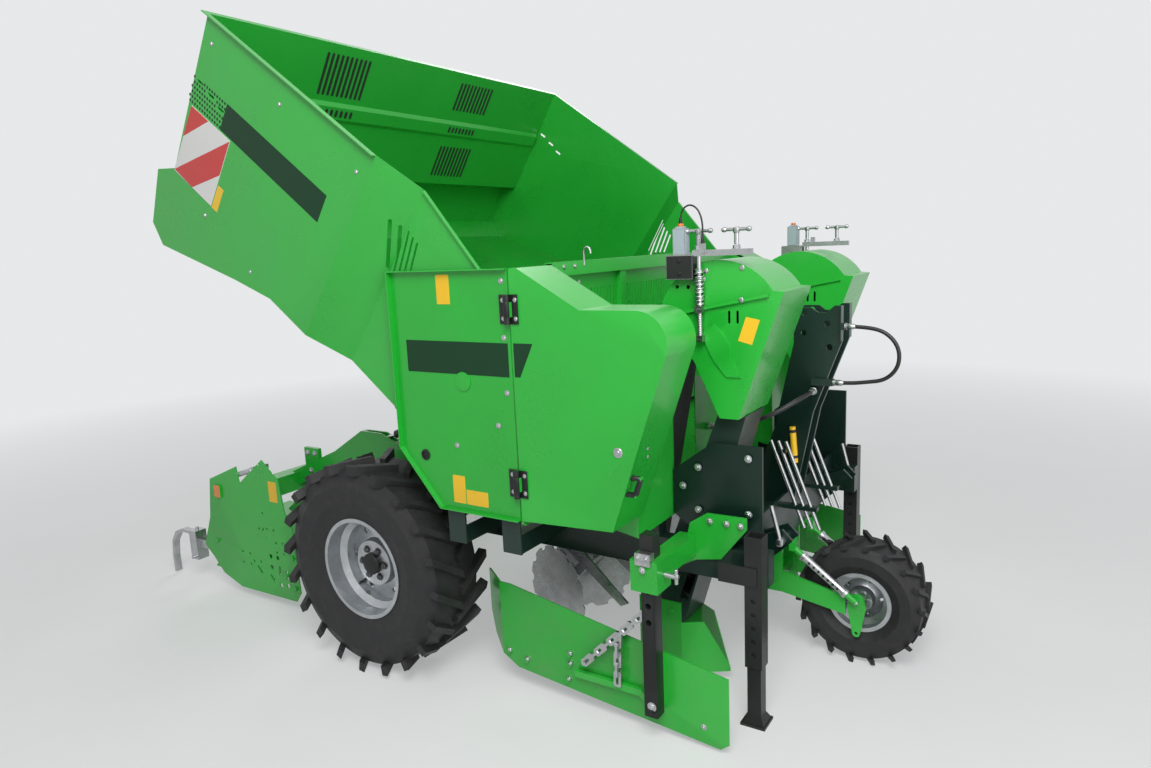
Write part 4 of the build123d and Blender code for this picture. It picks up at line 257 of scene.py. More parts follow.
GREEN = paint("green_paint", (0.012, 0.385, 0.028))
# A lit copy of the green paint for the hopper: its tone is set apart from GREEN's for how light falls there,
# so the difference is painted light.
LIT_GREEN = paint("green_paint_lit_copy", (0.014, 0.36, 0.030))
DARK = paint("dark_green_paint", (0.005, 0.020, 0.014), (0.06, 0.07, 0.06), 0.32, 0.12, 0.25, 1.6, 0.3)
BLACK = paint("black_paint", (0.006, 0.007, 0.007), (0.06, 0.06, 0.055), 0.38, 0.08, 0.25, 2.0, 0.3)
BAND = paint("dark_band_film", (0.002, 0.034, 0.010), rough=0.4, coat=0.0, dirt=0.1, shine=0.15)
RED = paint("red_film", (0.50, 0.028, 0.024), rough=0.4, coat=0.1, dirt=0.15)
WHITE = paint("white_film", (0.72, 0.72, 0.70), rough=0.4, coat=0.1, dirt=0.15, edge=1.0)
YELLOW = paint("yellow_film", (0.80, 0.47, 0.015), rough=0.4, coat=0.1, dirt=0.15)
AMBER = paint("amber_plastic", (0.75, 0.20, 0.01), rough=0.15, coat=0.6, dirt=0.2)
ORANGE = paint("orange_plastic", (0.70, 0.16, 0.02), rough=0.35, coat=0.1, dirt=0.1)
SENSOR = paint("blue_grey_plastic", (0.30, 0.36, 0.40), rough=0.4, coat=0.1, dirt=0.2)
# Painted shade: dark patches standing in for the shade inside slots and drilled holes, which are not cut.
HOLE = paint("painted_opening_shade", (0.004, 0.010, 0.006), rough=0.7, coat=0.0, dirt=0.0)
STEEL = metal("zinc_steel", (0.55, 0.56, 0.57), 0.32)
BRIGHT = metal("bright_steel", (0.72, 0.73, 0.74), 0.18)
RIM = metal("silver_rim", (0.55, 0.57, 0.59), 0.36)
NUTS = metal("dark_steel", (0.13, 0.135, 0.14), 0.34)
TYRE = rubber("tyre_rubber", (0.010, 0.010, 0.011), 0.68, (0.07, 0.062, 0.05), 0.3)
RUBBER = rubber("hose_rubber", (0.011, 0.011, 0.012), 0.42, (0.05, 0.05, 0.045), 0.12)
BELT = rubber("belt_rubber", (0.016, 0.018, 0.018), 0.6, (0.10, 0.09, 0.075), 0.4)

# How the CAD solids look, by the longest beginning of their name that is listed
looks = {"hopper": LIT_GREEN, "panel": GREEN, "door_hinges": BLACK, "door": GREEN, "bulkhead": GREEN,
         "trough": GREEN, "main_frame": DARK, "headstock": DARK, "tip_barrel": BLACK, "tip_rod": BRIGHT,
         "rear_tyre": TYRE, "front_tyre": TYRE, "rear_rim": RIM, "front_rim": RIM, "wheel_fork": GREEN,
         "element_housing": GREEN, "cup_belt": BELT, "belt_drums": BLACK, "belt_channel": DARK,
         "opener": GREEN, "cover_discs": STEEL, "side_shield": GREEN, "shield_post": BLACK,
         "shield_arm": GREEN, "leg_sleeve": BLACK, "parking_leg": BLACK, "ridger_side": GREEN,
         "ridger_hood": GREEN, "ridger_arms": GREEN, "lift_barrel": BLACK, "lift_rod": BRIGHT,
         "adjuster": STEEL, "shield_chains": STEEL, "ridger_fittings": STEEL, "hose": RUBBER,
         "sensor_cable": RUBBER}

for node_name, solid in nodes.items():
    solid.data.materials.clear()
    solid.data.materials.append(looks[max(filter(node_name.startswith, looks), key=len)])


# Seats on the solids
search_trees = {}


def search_tree(node):
    """A solid's faces, kept in a form that rays can be tried on."""
    if node not in search_trees:
        mesh = nodes[node].data
        search_trees[node] = BVHTree.FromPolygons([v.co.copy() for v in mesh.vertices],
                                                  [tuple(p.vertices) for p in mesh.polygons])
    return search_trees[node]


def first_hit(start, way, node):
    """Where a ray first meets a solid, and which way its face looks there."""
    spot, normal, _, _ = search_tree(node).ray_cast(start, way)
    if spot is None:
        raise LookupError(f"the ray misses {node}")
    return spot, normal if normal.dot(way) < 0 else -normal


def seen(px, py, node):
    """Where the photograph's view through one of its pixels meets a solid."""
    way = (AHEAD * FOCAL_PX + RIGHT * (px - PHOTO_W / 2) - UP * (py - PHOTO_H / 2)).normalized()
    return first_hit(EYE, way, node)


def face(place, outward, node):
    """Where a line towards a place from outside meets a solid."""
    return first_hit(place + outward, -outward, node)


# Makers of forms and pieces. A plate's seat is how far its underside is sunk into what it lies on
SHARP_ANGLE = math.radians(32)
SEAT = 0.2


def add_piece(name, data, look, body):
    """A mesh or curve put in the scene as a piece that rides on a body."""
    data.materials.append(look)
    piece = bpy.data.objects.new(name, data)
    bpy.context.scene.collection.objects.link(piece)
    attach(piece, body)
    return piece


def make(name, form, look, body):
    """A piece made from a finished form."""
    bmesh.ops.recalc_face_normals(form, faces=form.faces)
    mesh = bpy.data.meshes.new(name)
    form.to_mesh(mesh)
    form.free()
    mesh.shade_smooth()
    mesh.set_sharp_from_angle(angle=SHARP_ANGLE)
    return add_piece(name, mesh, look, body)


def turned(form, spot, axis, profile, sides=20, closed=False):
    """A turned form on an axis: the profile's radii and heights are in millimetres."""
    axis = axis.normalized()
    across = axis.orthogonal().normalized()
    other = axis.cross(across)
    turns = [2 * math.pi * k / sides for k in range(sides)]
    rows = []
    for radius, height in profile:
        centre = spot + axis * (height * MM)
        if radius == 0:
            rows.append([form.verts.new(centre)])
        else:
            rows.append([form.verts.new(centre + (across * math.cos(t) + other * math.sin(t)) * (radius * MM))
                         for t in turns])
    pairs = list(zip(rows, rows[1:]))
    if closed:
        pairs.append((rows[-1], rows[0]))
    for low_row, high_row in pairs:
        for k in range(sides):
            corners = []
            for row, index in ((low_row, k), (low_row, k + 1), (high_row, k + 1), (high_row, k)):
                corner = row[index % len(row)]
                if corner not in corners:
                    corners.append(corner)
            if len(corners) > 2:
                form.faces.new(corners)
    if not closed:
        for row in (rows[0], rows[-1]):
            if len(row) > 1:
                form.faces.new(row)


def hex_bolt(form, spot, normal, size, height, stud=True):
    """A washer, a chamfered hexagon and, where it is a nut, the end of its stud."""
    turned(form, spot, normal, [(size * 1.3, -0.5), (size * 1.3, 1.2), (size * 1.15, 1.8), (0, 1.8)])
    turned(form, spot, normal, [(size, 1.0), (size, height * 0.8), (size * 0.86, height), (0, height)], 6)
    if stud:
        turned(form, spot, normal, [(size * 0.5, height * 0.5), (size * 0.5, height + 2.2),
                                    (size * 0.38, height + 3.2), (0, height + 3.2)], 14)


def screws(form, side, x, places, size, height):
    """Bolts without a stud on a face that looks sideways."""
    for fwd, z in places:
        hex_bolt(form, at(side * x, fwd, z), outwards(side), size, height, False)


def slab(form, corners, way, thick, chamfer, seat):
    """A thin plate on its corners, raised along way, with a chamfered edge and a sunk seat."""
    way = way.normalized()
    middle = sum(corners, Vector()) / len(corners)
    rows = []
    for rise, inset in ((-seat, 0.0), (thick - chamfer, 0.0), (thick, chamfer)):
        rows.append([form.verts.new(c + way * (rise * MM) + (middle - c).normalized() * (inset * MM))
                     for c in corners])
    count = len(corners)
    for low_row, high_row in zip(rows, rows[1:]):
        for k in range(count):
            form.faces.new((low_row[k], low_row[(k + 1) % count], high_row[(k + 1) % count], high_row[k]))
    form.faces.new(rows[0][::-1])
    form.faces.new(rows[-1])


def brick(form, low, high, soft):
    """A block with rounded edges between two corners, which may be given in either order."""
    corners = [at(*low), at(*high)]
    size = Vector([abs(b - a) for a, b in zip(*corners)])
    made = bmesh.ops.create_cube(form, size=1.0, matrix=Matrix.Translation(sum(corners, Vector()) / 2)
                                 @ Matrix.Diagonal((*size, 1)))
    edges = {edge for vert in made["verts"] for edge in vert.link_edges}
    bmesh.ops.bevel(form, geom=list(edges), offset=soft * MM, segments=2, affect="EDGES")


def round_line(name, kind, points, radius, roundness):
    """A round bar along points in metres, as a curve and its spline."""
    line = bpy.data.curves.new(name, "CURVE")
    line.dimensions = "3D"
    line.bevel_depth = radius * MM
    line.bevel_resolution = roundness
    spline = line.splines.new(kind)
    spline.points.add(len(points) - 1)
    for target, point in zip(spline.points, points):
        target.co = (*point, 1)
    return line, spline


def wire(name, points, radius, look, body):
    """A bent round bar with closed ends."""
    line, _ = round_line(name, "POLY", points, radius, 3)
    line.use_fill_caps = True
    add_piece(name, line, look, body)


def rounded(width, height, radius, steps=4):
    """The outline of a rectangle with round corners, about its own middle."""
    points = []
    for side_x, side_y, first in ((1, 1, 0), (-1, 1, 90), (-1, -1, 180), (1, -1, 270)):
        for k in range(steps + 1):
            angle = math.radians(first + 90 * k / steps)
            points.append((side_x * (width / 2 - radius) + radius * math.cos(angle),
                           side_y * (height / 2 - radius) + radius * math.sin(angle)))
    return points


def side_plate(form, x, outline, thick, side=1, chamfer=0.5):
    """A plate on a face that looks sideways: outline points are forward places and heights."""
    slab(form, [at(side * x, fwd, z) for fwd, z in outline], outwards(side), thick, chamfer, SEAT)


def rectangle(fwd_low, fwd_high, z_low, z_high, radius=0.0):
    """A side plate's outline, with round corners where a radius is given."""
    if not radius:
        return [(fwd_low, z_low), (fwd_high, z_low), (fwd_high, z_high), (fwd_low, z_high)]
    fwd, z = (fwd_low + fwd_high) / 2, (z_low + z_high) / 2
    return [(fwd + a, z + b) for a, b in rounded(fwd_high - fwd_low, z_high - z_low, radius)]


def rod_cover(form, start, end, radius, sides=16):
    """A round bar between two places, with eased ends."""
    a, b = at(*start), at(*end)
    length = (b - a).length / MM
    turned(form, a, b - a, [(0, -1), (radius * 0.8, -1), (radius, 0.6), (radius, length - 0.6),
                            (radius * 0.8, length + 1), (0, length + 1)], sides)


# Cords: a hose loop and a bundle of hoses on the mast, and the sensor's lead on the right element
CRIMP = [(0.85, 0), (0.85, 8), (0.70, 9), (0.70, 12), (0.74, 13), (0.74, 30), (0.66, 33), (0.56, 36),
         (0.56, 40)]
BOOT = [(1.2, 0), (1.1, 6), (0.95, 12), (0.8, 18), (0.6, 20)]


def cord(name, node, route, diameter, fitting, fitting_look):
    """A cord on the source's route points, with a fitting at each end in shares of its thickness."""
    line, spline = round_line(name, "NURBS", [at(*point) for point in route], diameter / 2, 6)
    line.resolution_u = 16
    spline.order_u = 3
    spline.use_endpoint_u = True
    piece = add_piece(name, line, RUBBER, "frame")
    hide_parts(node)
    for label, first, second in (("start", route[0], route[1]), ("end", route[-1], route[-2])):
        form = bmesh.new()
        start = at(*first)
        turned(form, start, at(*second) - start, [(diameter * share, height) for share, height in fitting])
        make(f"{name}_{label}_fitting", form, fitting_look, "frame")


cord("front_hose", "hose_front",
     [(71, 1662, 1356), (71, 1735, 1356), (77, 1812, 1340), (84, 1862, 1284), (84, 1862, 1210),
      (80, 1815, 1158), (76, 1745, 1146), (76, 1682, 1138), (76, 1622, 1138)],
     15, CRIMP, STEEL)
cord("rear_hoses", "hose_bundle",
     [(73, 1545, 1100), (147, 1545, 1100), (212, 1515, 1080), (256, 1458, 1042), (272, 1380, 1006),
      (264, 1300, 980), (250, 1237, 965), (250, 1177, 965)],
     18, CRIMP, STEEL)
cord("sensor_lead", "sensor_cable",
     [(620, 1245, 1761), (620, 1245, 1790), (623, 1259, 1815), (630, 1286, 1824), (635, 1313, 1810),
      (637, 1328, 1783), (636, 1333, 1752), (635, 1332, 1721), (635, 1332, 1692)],
     6, BOOT, BLACK)


# Hopper: its own frame starts at the rim's rear corner, with u forwards along the rim and v up
# square to it
TILT = math.radians(36.1)
RIM_FWD, RIM_Z = -436, 2631
HOPPER_X = 1175
FILM = 0.8
HOPPER_BAND = [(242, -240), (875, -246), (877, -356), (242, -348)]
HOPPER_SCREWS = ((67, -90), (511, -94), (965, -95), (300, -700), (640, -740))
DOT_COLUMNS, DOT_ROWS = 13, 6
DOT_U, DOT_V = 19, -246
DOT_PITCH_U, DOT_PITCH_V = 17.5, 19
DOT_HALF_W, DOT_HALF_H = 6.5, 7
DOT_GAPS = ((39, 81, -250), (119, 161, -263), (194, 236, -280))
DOT_CLEAR_U, DOT_CLEAR_V = 8, 13


def tub(x, u, v):
    """A place given in the hopper's own frame, in metres in the shared frame."""
    return at(x, RIM_FWD + u * math.cos(TILT) + v * math.sin(TILT),
              RIM_Z - u * math.sin(TILT) + v * math.cos(TILT))


def tub_plate(form, outline, thick, side=1, chamfer=0.5):
    """A plate on the hopper's side wall: outline points are in its own frame."""
    slab(form, [tub(side * HOPPER_X, u, v) for u, v in outline], outwards(side), thick, chamfer, SEAT)


def in_gap(u, v):
    """Whether a dot of the band would lie over one of the wall's sight slots."""
    return any(low - DOT_CLEAR_U < u < high + DOT_CLEAR_U and abs(v - level) < DOT_CLEAR_V
               for low, high, level in DOT_GAPS)


for side, word in SIDES:
    form = bmesh.new()
    tub_plate(form, HOPPER_BAND, FILM, side)
    for column in range(DOT_COLUMNS):
        for row in range(DOT_ROWS):
            u = DOT_U + DOT_PITCH_U * (column + row % 2 / 2)
            v = DOT_V - DOT_PITCH_V * row
            if not in_gap(u, v):
                tub_plate(form, [(u - DOT_HALF_W, v), (u, v - DOT_HALF_H), (u + DOT_HALF_W, v),
                                 (u, v + DOT_HALF_H)], 0.7, side, 0.2)
    make(f"hopper_band_{word}", form, BAND, "hopper")
    form = bmesh.new()
    for u, v in HOPPER_SCREWS:
        hex_bolt(form, tub(side * HOPPER_X, u, v), outwards(side), 6.5, 4.5, False)
    make(f"hopper_bolts_{word}", form, STEEL, "hopper")

# Striped plate and a bare label, on the side that the photograph shows
PLATE_THICK = 2.0
form = bmesh.new()
tub_plate(form, [(46, -645), (317, -645), (317, -355), (46, -355)], PLATE_THICK)
make("stripe_plate_white", form, WHITE, "hopper")
form = bmesh.new()
for outline in ([(47, -356), (47, -490), (168, -356)],
                [(47, -640), (180, -644), (316, -506), (316, -358)]):
    slab(form, [tub(HOPPER_X + PLATE_THICK, u, v) for u, v in outline], outwards(1), 0.5, 0.2, 0.1)
make("stripe_plate_red", form, RED, "hopper")
form = bmesh.new()
tub_plate(form, [(322, -648), (360, -648), (360, -547), (322, -547)], FILM)
make("hopper_sticker", form, YELLOW, "hopper")

# Hopper's rear wall, which leans: a pressed rib inside, and grilles of slits, which are not cut but drawn as
# dark patches of painted shade standing in for the shade inside the slots. Each grille has its reach across,
# its number of slits, its top and foot, how far it stands off the wall and, where it shows outside too, its
# foot there
WALL_LEAN, WALL_DROP = 45, -637
INNER_SHIFT, INNER_TOP, INNER_DROP = 4, 40, 677
WALL_INWARDS = (tub(0, 637, 45) - tub(0, 0, 0)).normalized()
RIB_REACH = 1150
RIB_SECTION = [(-262, 0), (-280, 11), (-338, 11), (-356, 0)]
RIB_OUTSTAND = 12.1
GRILLES = ((331, 590, 10, -42, -236, 0.0, -206), (362, 525, 6, -292, -328, RIB_OUTSTAND, None),
           (-590, -318, 10, -50, -205, 0.0, -205), (-545, -330, 8, -292, -328, RIB_OUTSTAND, None),
           (-595, -331, 10, -410, -590, 0.0, None))
LAST_GAP = 0.45
SLIT_HALF = 0.27
SLIT_WIDTH = 0.55


def rear_wall(x, v, outside=False):
    """A place on the inner or outer face of the hopper's rear wall."""
    if outside:
        return tub(x, WALL_LEAN * v / WALL_DROP, v)
    return tub(x, INNER_SHIFT + WALL_LEAN * (INNER_TOP - v) / INNER_DROP, v)


form = bmesh.new()
for (v_low, out_low), (v_high, out_high) in zip(RIB_SECTION, RIB_SECTION[1:]):
    corners = [rear_wall(x, v) + WALL_INWARDS * out * MM
               for x, v, out in ((-RIB_REACH, v_low, out_low), (RIB_REACH, v_low, out_low),
                                 (RIB_REACH, v_high, out_high), (-RIB_REACH, v_high, out_high))]
    slab(form, corners, WALL_INWARDS, 1.0, 0.3, 1.0)
# The rib takes the lit copy of the green paint, which holds painted light.
make("hopper_inner_rib", form, LIT_GREEN, "hopper")


def slit(form, x, width, top, foot, rise, outside):
    """One slit from the place x on, on the wall's inner or outer face, as a dark patch of painted shade."""
    way = -WALL_INWARDS if outside else WALL_INWARDS
    outline = rounded(width * SLIT_WIDTH, top - foot, width * SLIT_HALF, 3)
    corners = [rear_wall(x + width * SLIT_HALF + a, (top + foot) / 2 + b, outside) + way * rise * MM
               for a, b in outline]
    slab(form, corners, way, 0.7, 0.2, SEAT)


# The slits are dark patches of painted shade on the wall.
form = bmesh.new()
for x_low, x_high, count, top, foot, rise, outer_foot in GRILLES:
    pitch = (x_high - x_low) / (count - LAST_GAP)
    for index in range(count):
        slit(form, x_low + pitch * index, pitch, top, foot, rise, False)
        if outer_foot is not None:
            slit(form, x_low + pitch * index, pitch, top, outer_foot, rise, True)
make("hopper_grille_slits", form, HOLE, "hopper")


# Side panels and doors
PANEL_X = 1055
LEAF_X = PANEL_X + 4
HINGE_HEIGHTS = (1505, 905)
HINGE_SCREW_RISE = (-31, 31)
FIXED_SCREW_FWD, DOOR_SCREW_FWD = 797, 848
PANEL_SCREWS = ((792, 1599), (792, 1409), (792, 1220), (746, 1103), (551, 1014))
BARREL_X, BARREL_FWD, BARREL_DROP = 1071, 821, 24.3
GRIP_X, GRIP_Z, GRIP_R = 1037, 946, 9.6
# The door's front edge leans from its low end to its high end: forward place and height of each
EDGE_LOW, EDGE_HIGH = (1188, 788), (1440, 1504)
EDGE_LEAN = (EDGE_HIGH[0] - EDGE_LOW[0]) / (EDGE_HIGH[1] - EDGE_LOW[1])
GRIP_FWD = EDGE_LOW[0] + (GRIP_Z - EDGE_LOW[1]) * EDGE_LEAN
GRIP_PATH = [(-28, -2), (-28, 26), (-22, 32), (22, 32), (28, 26), (28, -2)]


def hinge_screw_places(fwd):
    return [(fwd, height + rise) for height in HINGE_HEIGHTS for rise in HINGE_SCREW_RISE]


for side, word in SIDES:
    form = bmesh.new()
    side_plate(form, PANEL_X, rectangle(340, 806, 1275, 1391), FILM, side)
    make(f"panel_band_{word}", form, BAND, "frame")
    form = bmesh.new()
    side_plate(form, PANEL_X, [(829, 1277), (851, 1277), (908, 1392), (829, 1392)], FILM, side)
    make(f"door_band_{word}", form, BAND, f"door_{word}")
    form = bmesh.new()
    screws(form, side, PANEL_X, PANEL_SCREWS, 8.0, 5.5)
    make(f"panel_bolts_{word}", form, STEEL, "frame")
    form = bmesh.new()
    turned(form, at(side * PANEL_X, 395, 963), outwards(side),
           [(21, -0.5), (21, 3), (18, 4.5), (14, 4), (13, 1), (0, 1)], 28)
    make(f"panel_grommet_{word}", form, BLACK, "frame")
    form = bmesh.new()
    screws(form, side, LEAF_X, hinge_screw_places(FIXED_SCREW_FWD), 6.0, 3.5)
    make(f"hinge_screws_{word}", form, STEEL, "frame")
    form = bmesh.new()
    screws(form, side, LEAF_X, hinge_screw_places(DOOR_SCREW_FWD), 6.0, 3.5)
    turned(form, at(side * PANEL_X, 1217, 1056), outwards(side),
           [(17, -0.5), (17, 2), (15, 3.5), (9, 3.5), (8, 6), (6.5, 7), (0, 7)], 24)
    make(f"door_screws_{word}", form, STEEL, f"door_{word}")
    form = bmesh.new()
    for height in HINGE_HEIGHTS:
        side_plate(form, LEAF_X, rectangle(824.2, 860.5, height - 49.5, height + 49.5, 3), 0.7, side)
        turned(form, at(side * BARREL_X, BARREL_FWD, height - BARREL_DROP), UPWARDS,
               [(11.6, 0), (12, 1), (12, 47.6), (11.6, 48.6)], 24)
    make(f"door_leaves_{word}", form, BLACK, f"door_{word}")
    wire(f"door_grip_{word}",
         [at(side * GRIP_X, GRIP_FWD + rise * EDGE_LEAN + reach, GRIP_Z + rise) for rise, reach in GRIP_PATH],
         GRIP_R, BLACK, f"door_{word}")

form = bmesh.new()
for label in (rectangle(504, 564, 1521, 1624, 4), rectangle(519, 576, 797, 901, 4),
              rectangle(580, 679, 797, 852, 4)):
    side_plate(form, PANEL_X, label, 0.7)
make("panel_stickers", form, YELLOW, "frame")


# Bolts over the plain round heads of the headstock's plates, the shields' brackets and the fork
HEAD_FWD, HEAD_FWD_REACH = 1172, 341
HEAD_Z, HEAD_Z_REACH = 560, 425
HEAD_SHARES = ((0.12, 0.6), (0.3, 0.78), (0.86, 0.9), (0.3, 0.4), (0.86, 0.42))
HEAD_PLACES = [(580, HEAD_FWD + a * HEAD_FWD_REACH, HEAD_Z + b * HEAD_Z_REACH) for a, b in HEAD_SHARES]
BRACKET_PLACES = [(640, 1347, 720), (640, 1410, 719), (640, 1462, 718), (982, 1255, 647.5)]
FORK_PLACES = [(130, 1733, 275)]


def head_bolts(name, node, side, places, size):
    """Bolts with studs where lines from one side meet a solid."""
    form = bmesh.new()
    for x, fwd, z in places:
        spot, normal = face(at(side * x, fwd, z), outwards(side), node)
        hex_bolt(form, spot, normal, size, size * 0.6)
    make(name, form, STEEL, "frame")


for side, word in SIDES:
    head_bolts(f"headstock_bolts_{word}", "headstock", side, HEAD_PLACES, 11.0)
    head_bolts(f"bracket_bolts_{word}", f"shield_arm_{word}", side, BRACKET_PLACES, 9.0)
    head_bolts(f"fork_bolts_{word}", "wheel_fork", side, FORK_PLACES, 10.0)


# Bare steel over the clamps' screws, the lower links' pins and the slanted pipes, and clamp plates
CLAMP_X, CLAMP_FWD, CLAMP_Z = 932, 1306, 620
LINK_FWD, LINK_Z = 1550, 621
PIPE_X, PIPE_PITCH = 150, 30
CLAMP_PLATE_X = 990

for side, word in SIDES:
    form = bmesh.new()
    rod_cover(form, (side * CLAMP_X, CLAMP_FWD, CLAMP_Z), (side * CLAMP_X, CLAMP_FWD + 51, CLAMP_Z), 8.7)
    rod_cover(form, (side * CLAMP_X, CLAMP_FWD + 43, CLAMP_Z - 25),
              (side * CLAMP_X, CLAMP_FWD + 43, CLAMP_Z + 25), 6.7)
    for index in range(8):
        turned(form, at(side * CLAMP_X, CLAMP_FWD + 4 + index * 4, CLAMP_Z), FORWARDS,
               [(8.5, 0), (9.4, 1), (9.4, 1.8), (8.5, 2.8)], 16)
    make(f"clamp_screw_{word}", form, STEEL, "frame")
    form = bmesh.new()
    rod_cover(form, (side * 468.5, LINK_FWD, LINK_Z), (side * 502.5, LINK_FWD, LINK_Z), 14.9, 20)
    rod_cover(form, (side * 488, LINK_FWD, LINK_Z), (side * 488, 1516, 751), 7.7)
    make(f"link_pin_handle_{word}", form, STEEL, "frame")
    form = bmesh.new()
    for index in range(3):
        shift = index * PIPE_PITCH
        rod_cover(form, (side * PIPE_X, 1400 + shift, 905), (side * PIPE_X, 1535 + shift, 560), 6.7, 14)
    make(f"slanted_pipes_{word}", form, STEEL, "frame")
    form = bmesh.new()
    brick(form, (side * 957.2, 1226, 675.2), (side * CLAMP_PLATE_X, 1284, 703), 2)
    brick(form, (side * 982.1, 1226, 660), (side * CLAMP_PLATE_X, 1284, 680), 2)
    for fwd in (1240, 1270):
        hex_bolt(form, at(side * CLAMP_PLATE_X, fwd, 690), outwards(side), 8, 6)
    make(f"clamp_plate_{word}", form, STEEL, "frame")


# Adjusters: springs, threads, knobs, the sensor's box and its plug
ADJUSTER_X, SCREW_FWD, SECOND_FWD, BOX_FWD = 620, 1310, 1446, 1245
SPRING_R, SPRING_BAR, SPRING_TURNS, SPRING_STEPS = 15.5, 2.6, 9, 20
SPRING_LOW, SPRING_HIGH = 1486, 1606
THREAD_Z, THREAD_TURNS, THREAD_PITCH, THREAD_LENGTH = 1362, 18, 6.0, 110
NUT_Z, KNOB_Z, BAR_Z, BAR_REACH = 1671, 1722, 1734, 44
BRACKET_X = 636.5


def adjuster_spring(name, x):
    steps = SPRING_TURNS * SPRING_STEPS
    points = []
    for k in range(steps + 1):
        angle = 2 * math.pi * k / SPRING_STEPS
        points.append(at(x + SPRING_R * math.cos(angle), SCREW_FWD + SPRING_R * math.sin(angle),
                         SPRING_LOW + (SPRING_HIGH - SPRING_LOW) * k / steps))
    wire(name, points, SPRING_BAR, BRIGHT, "frame")


def thread_profile():
    """A turned screw thread, between a point at its foot and one at its top."""
    rows = [(0, 0)]
    for index in range(THREAD_TURNS):
        z = index * THREAD_PITCH
        rows += [(8.3, z), (9.4, z + 2), (9.4, z + 3), (8.3, z + 5)]
    return rows + [(0, THREAD_LENGTH)]


for side, word in SIDES:
    x = side * ADJUSTER_X
    adjuster_spring(f"adjuster_spring_{word}", x)
    form = bmesh.new()
    turned(form, at(x, SCREW_FWD, THREAD_Z), UPWARDS, thread_profile(), 18)
    for fwd in (SCREW_FWD, SECOND_FWD):
        turned(form, at(x, fwd, NUT_Z), UPWARDS,
               [(15, 0), (15, 2), (12.5, 2.5), (12.5, 12), (11, 13.5), (0, 13.5)], 6)
        for end in (-1, 1):
            turned(form, at(x, fwd + end * BAR_REACH, BAR_Z), Vector((0, end, 0)),
                   [(6.5, -9), (8.5, -6), (9, 0), (8, 5), (5, 7.5), (0, 8)], 16)
        turned(form, at(x, fwd, KNOB_Z), UPWARDS, [(10, 0), (11.5, 3), (11.5, 17), (9, 20), (0, 20)], 18)
    make(f"adjuster_knobs_{word}", form, STEEL, "frame")
    form = bmesh.new()
    brick(form, (x - 18.5, 1220.5, 1655.5), (x + 18.5, 1269.5, 1746), 4)
    brick(form, (x - 12.5, 1229, 1744), (x + 12.5, 1261, 1752), 2)
    make(f"sensor_box_{word}", form, SENSOR, "frame")
    form = bmesh.new()
    turned(form, at(x, BOX_FWD, 1750), UPWARDS,
           [(10, 0), (10.5, 2), (10.5, 9), (9.5, 11.5), (6, 11.8), (0, 11.8)])
    make(f"sensor_plug_{word}", form, ORANGE, "frame")
    form = bmesh.new()
    brick(form, (side * 600.2, 1192.5, 1571.5), (side * BRACKET_X, 1293.5, 1655.5), 3)
    screws(form, side, BRACKET_X, ((1243, 1592), (1243, 1636)), 6.0, 4.5)
    make(f"sensor_bracket_{word}", form, BLACK, "frame")


# Front struts: adjusting sleeves with drilled holes, drawn as dark discs of painted shade, and lock nuts
STRUT_X, STRUT_FOOT, STRUT_HEAD = 129.95, (1733, 275), (1484, 463)
SLEEVE_BORE, SLEEVE_R = 13.3, 16
SLEEVE_END = [(SLEEVE_BORE, 46), (20, 46), (20, 58), (17, 60), (17, 64), (SLEEVE_R, 66)]
STRUT_HOLES, FIRST_HOLE, HOLE_SPACING = 7, 0.27, 0.075

for side, word in SIDES:
    foot, head = at(side * STRUT_X, *STRUT_FOOT), at(side * STRUT_X, *STRUT_HEAD)
    reach = head - foot
    total = reach.length / MM
    form = bmesh.new()
    turned(form, foot, reach, SLEEVE_END + [(radius, total - height) for radius, height in SLEEVE_END[::-1]],
           24, True)
    make(f"strut_sleeve_{word}", form, STEEL, "frame")
    form = bmesh.new()
    # Each drilled hole is a dark disc of painted shade on the sleeve, not cut.
    for index in range(STRUT_HOLES):
        spot = foot + reach * (FIRST_HOLE + HOLE_SPACING * index) + outwards(side) * SLEEVE_R * MM
        turned(form, spot, outwards(side), [(5.5, -1.5), (5.5, 0.5), (4, 0.7), (0, 0.7)], 14)
    make(f"strut_holes_{word}", form, HOLE, "frame")


# Rear wheels: caps over the spindles' ends, nuts over the plain ones, and valves
WHEEL_X, WHEEL_Z = 951, 444.5
CAP_R, NUT_RING, NUT_COUNT = 45, 62.5, 6
VALVE_REACH = 115

for side, word in SIDES:
    rim, body, way = f"rear_rim_{word}", f"rear_wheel_{word}", outwards(side)
    seat, _ = face(at(side * WHEEL_X, CAP_R, WHEEL_Z), way, rim)
    centre = at(0, 0, WHEEL_Z)
    centre.x = seat.x
    form = bmesh.new()
    turned(form, centre, way, [(CAP_R, -1), (CAP_R, 17), (CAP_R * 0.88, 22), (CAP_R * 0.5, 24), (0, 24)], 32)
    make(f"rear_{word}_hub_cap", form, BLACK, body)
    form = bmesh.new()
    for index in range(NUT_COUNT):
        angle = 2 * math.pi * index / NUT_COUNT
        ring = Vector((0, math.cos(angle), math.sin(angle)))
        hex_bolt(form, centre + ring * (NUT_RING * MM), way, 12.9, 11.0)
    make(f"rear_{word}_wheel_nuts", form, NUTS, body)
    form = bmesh.new()
    spot, _ = face(at(side * WHEEL_X, -VALVE_REACH, WHEEL_Z - VALVE_REACH), way, rim)
    turned(form, spot, way, [(6, -1), (6, 6), (4, 8), (4, 24), (5, 25), (5, 32), (0, 33)], 14)
    make(f"rear_{word}_valve", form, RUBBER, body)


# Ridger: adjusting sleeves and bolts, a reflector and a bare yellow label
TOP_BAR_X, TOP_BAR_REAR, TOP_BAR_FRONT = 837, (-1255, 600), (-880, 716)
BAR_BORE = 9.3
ARM_BOLTS = ((668, -772, 752), (668, -722, 752), (678, -747, 668))

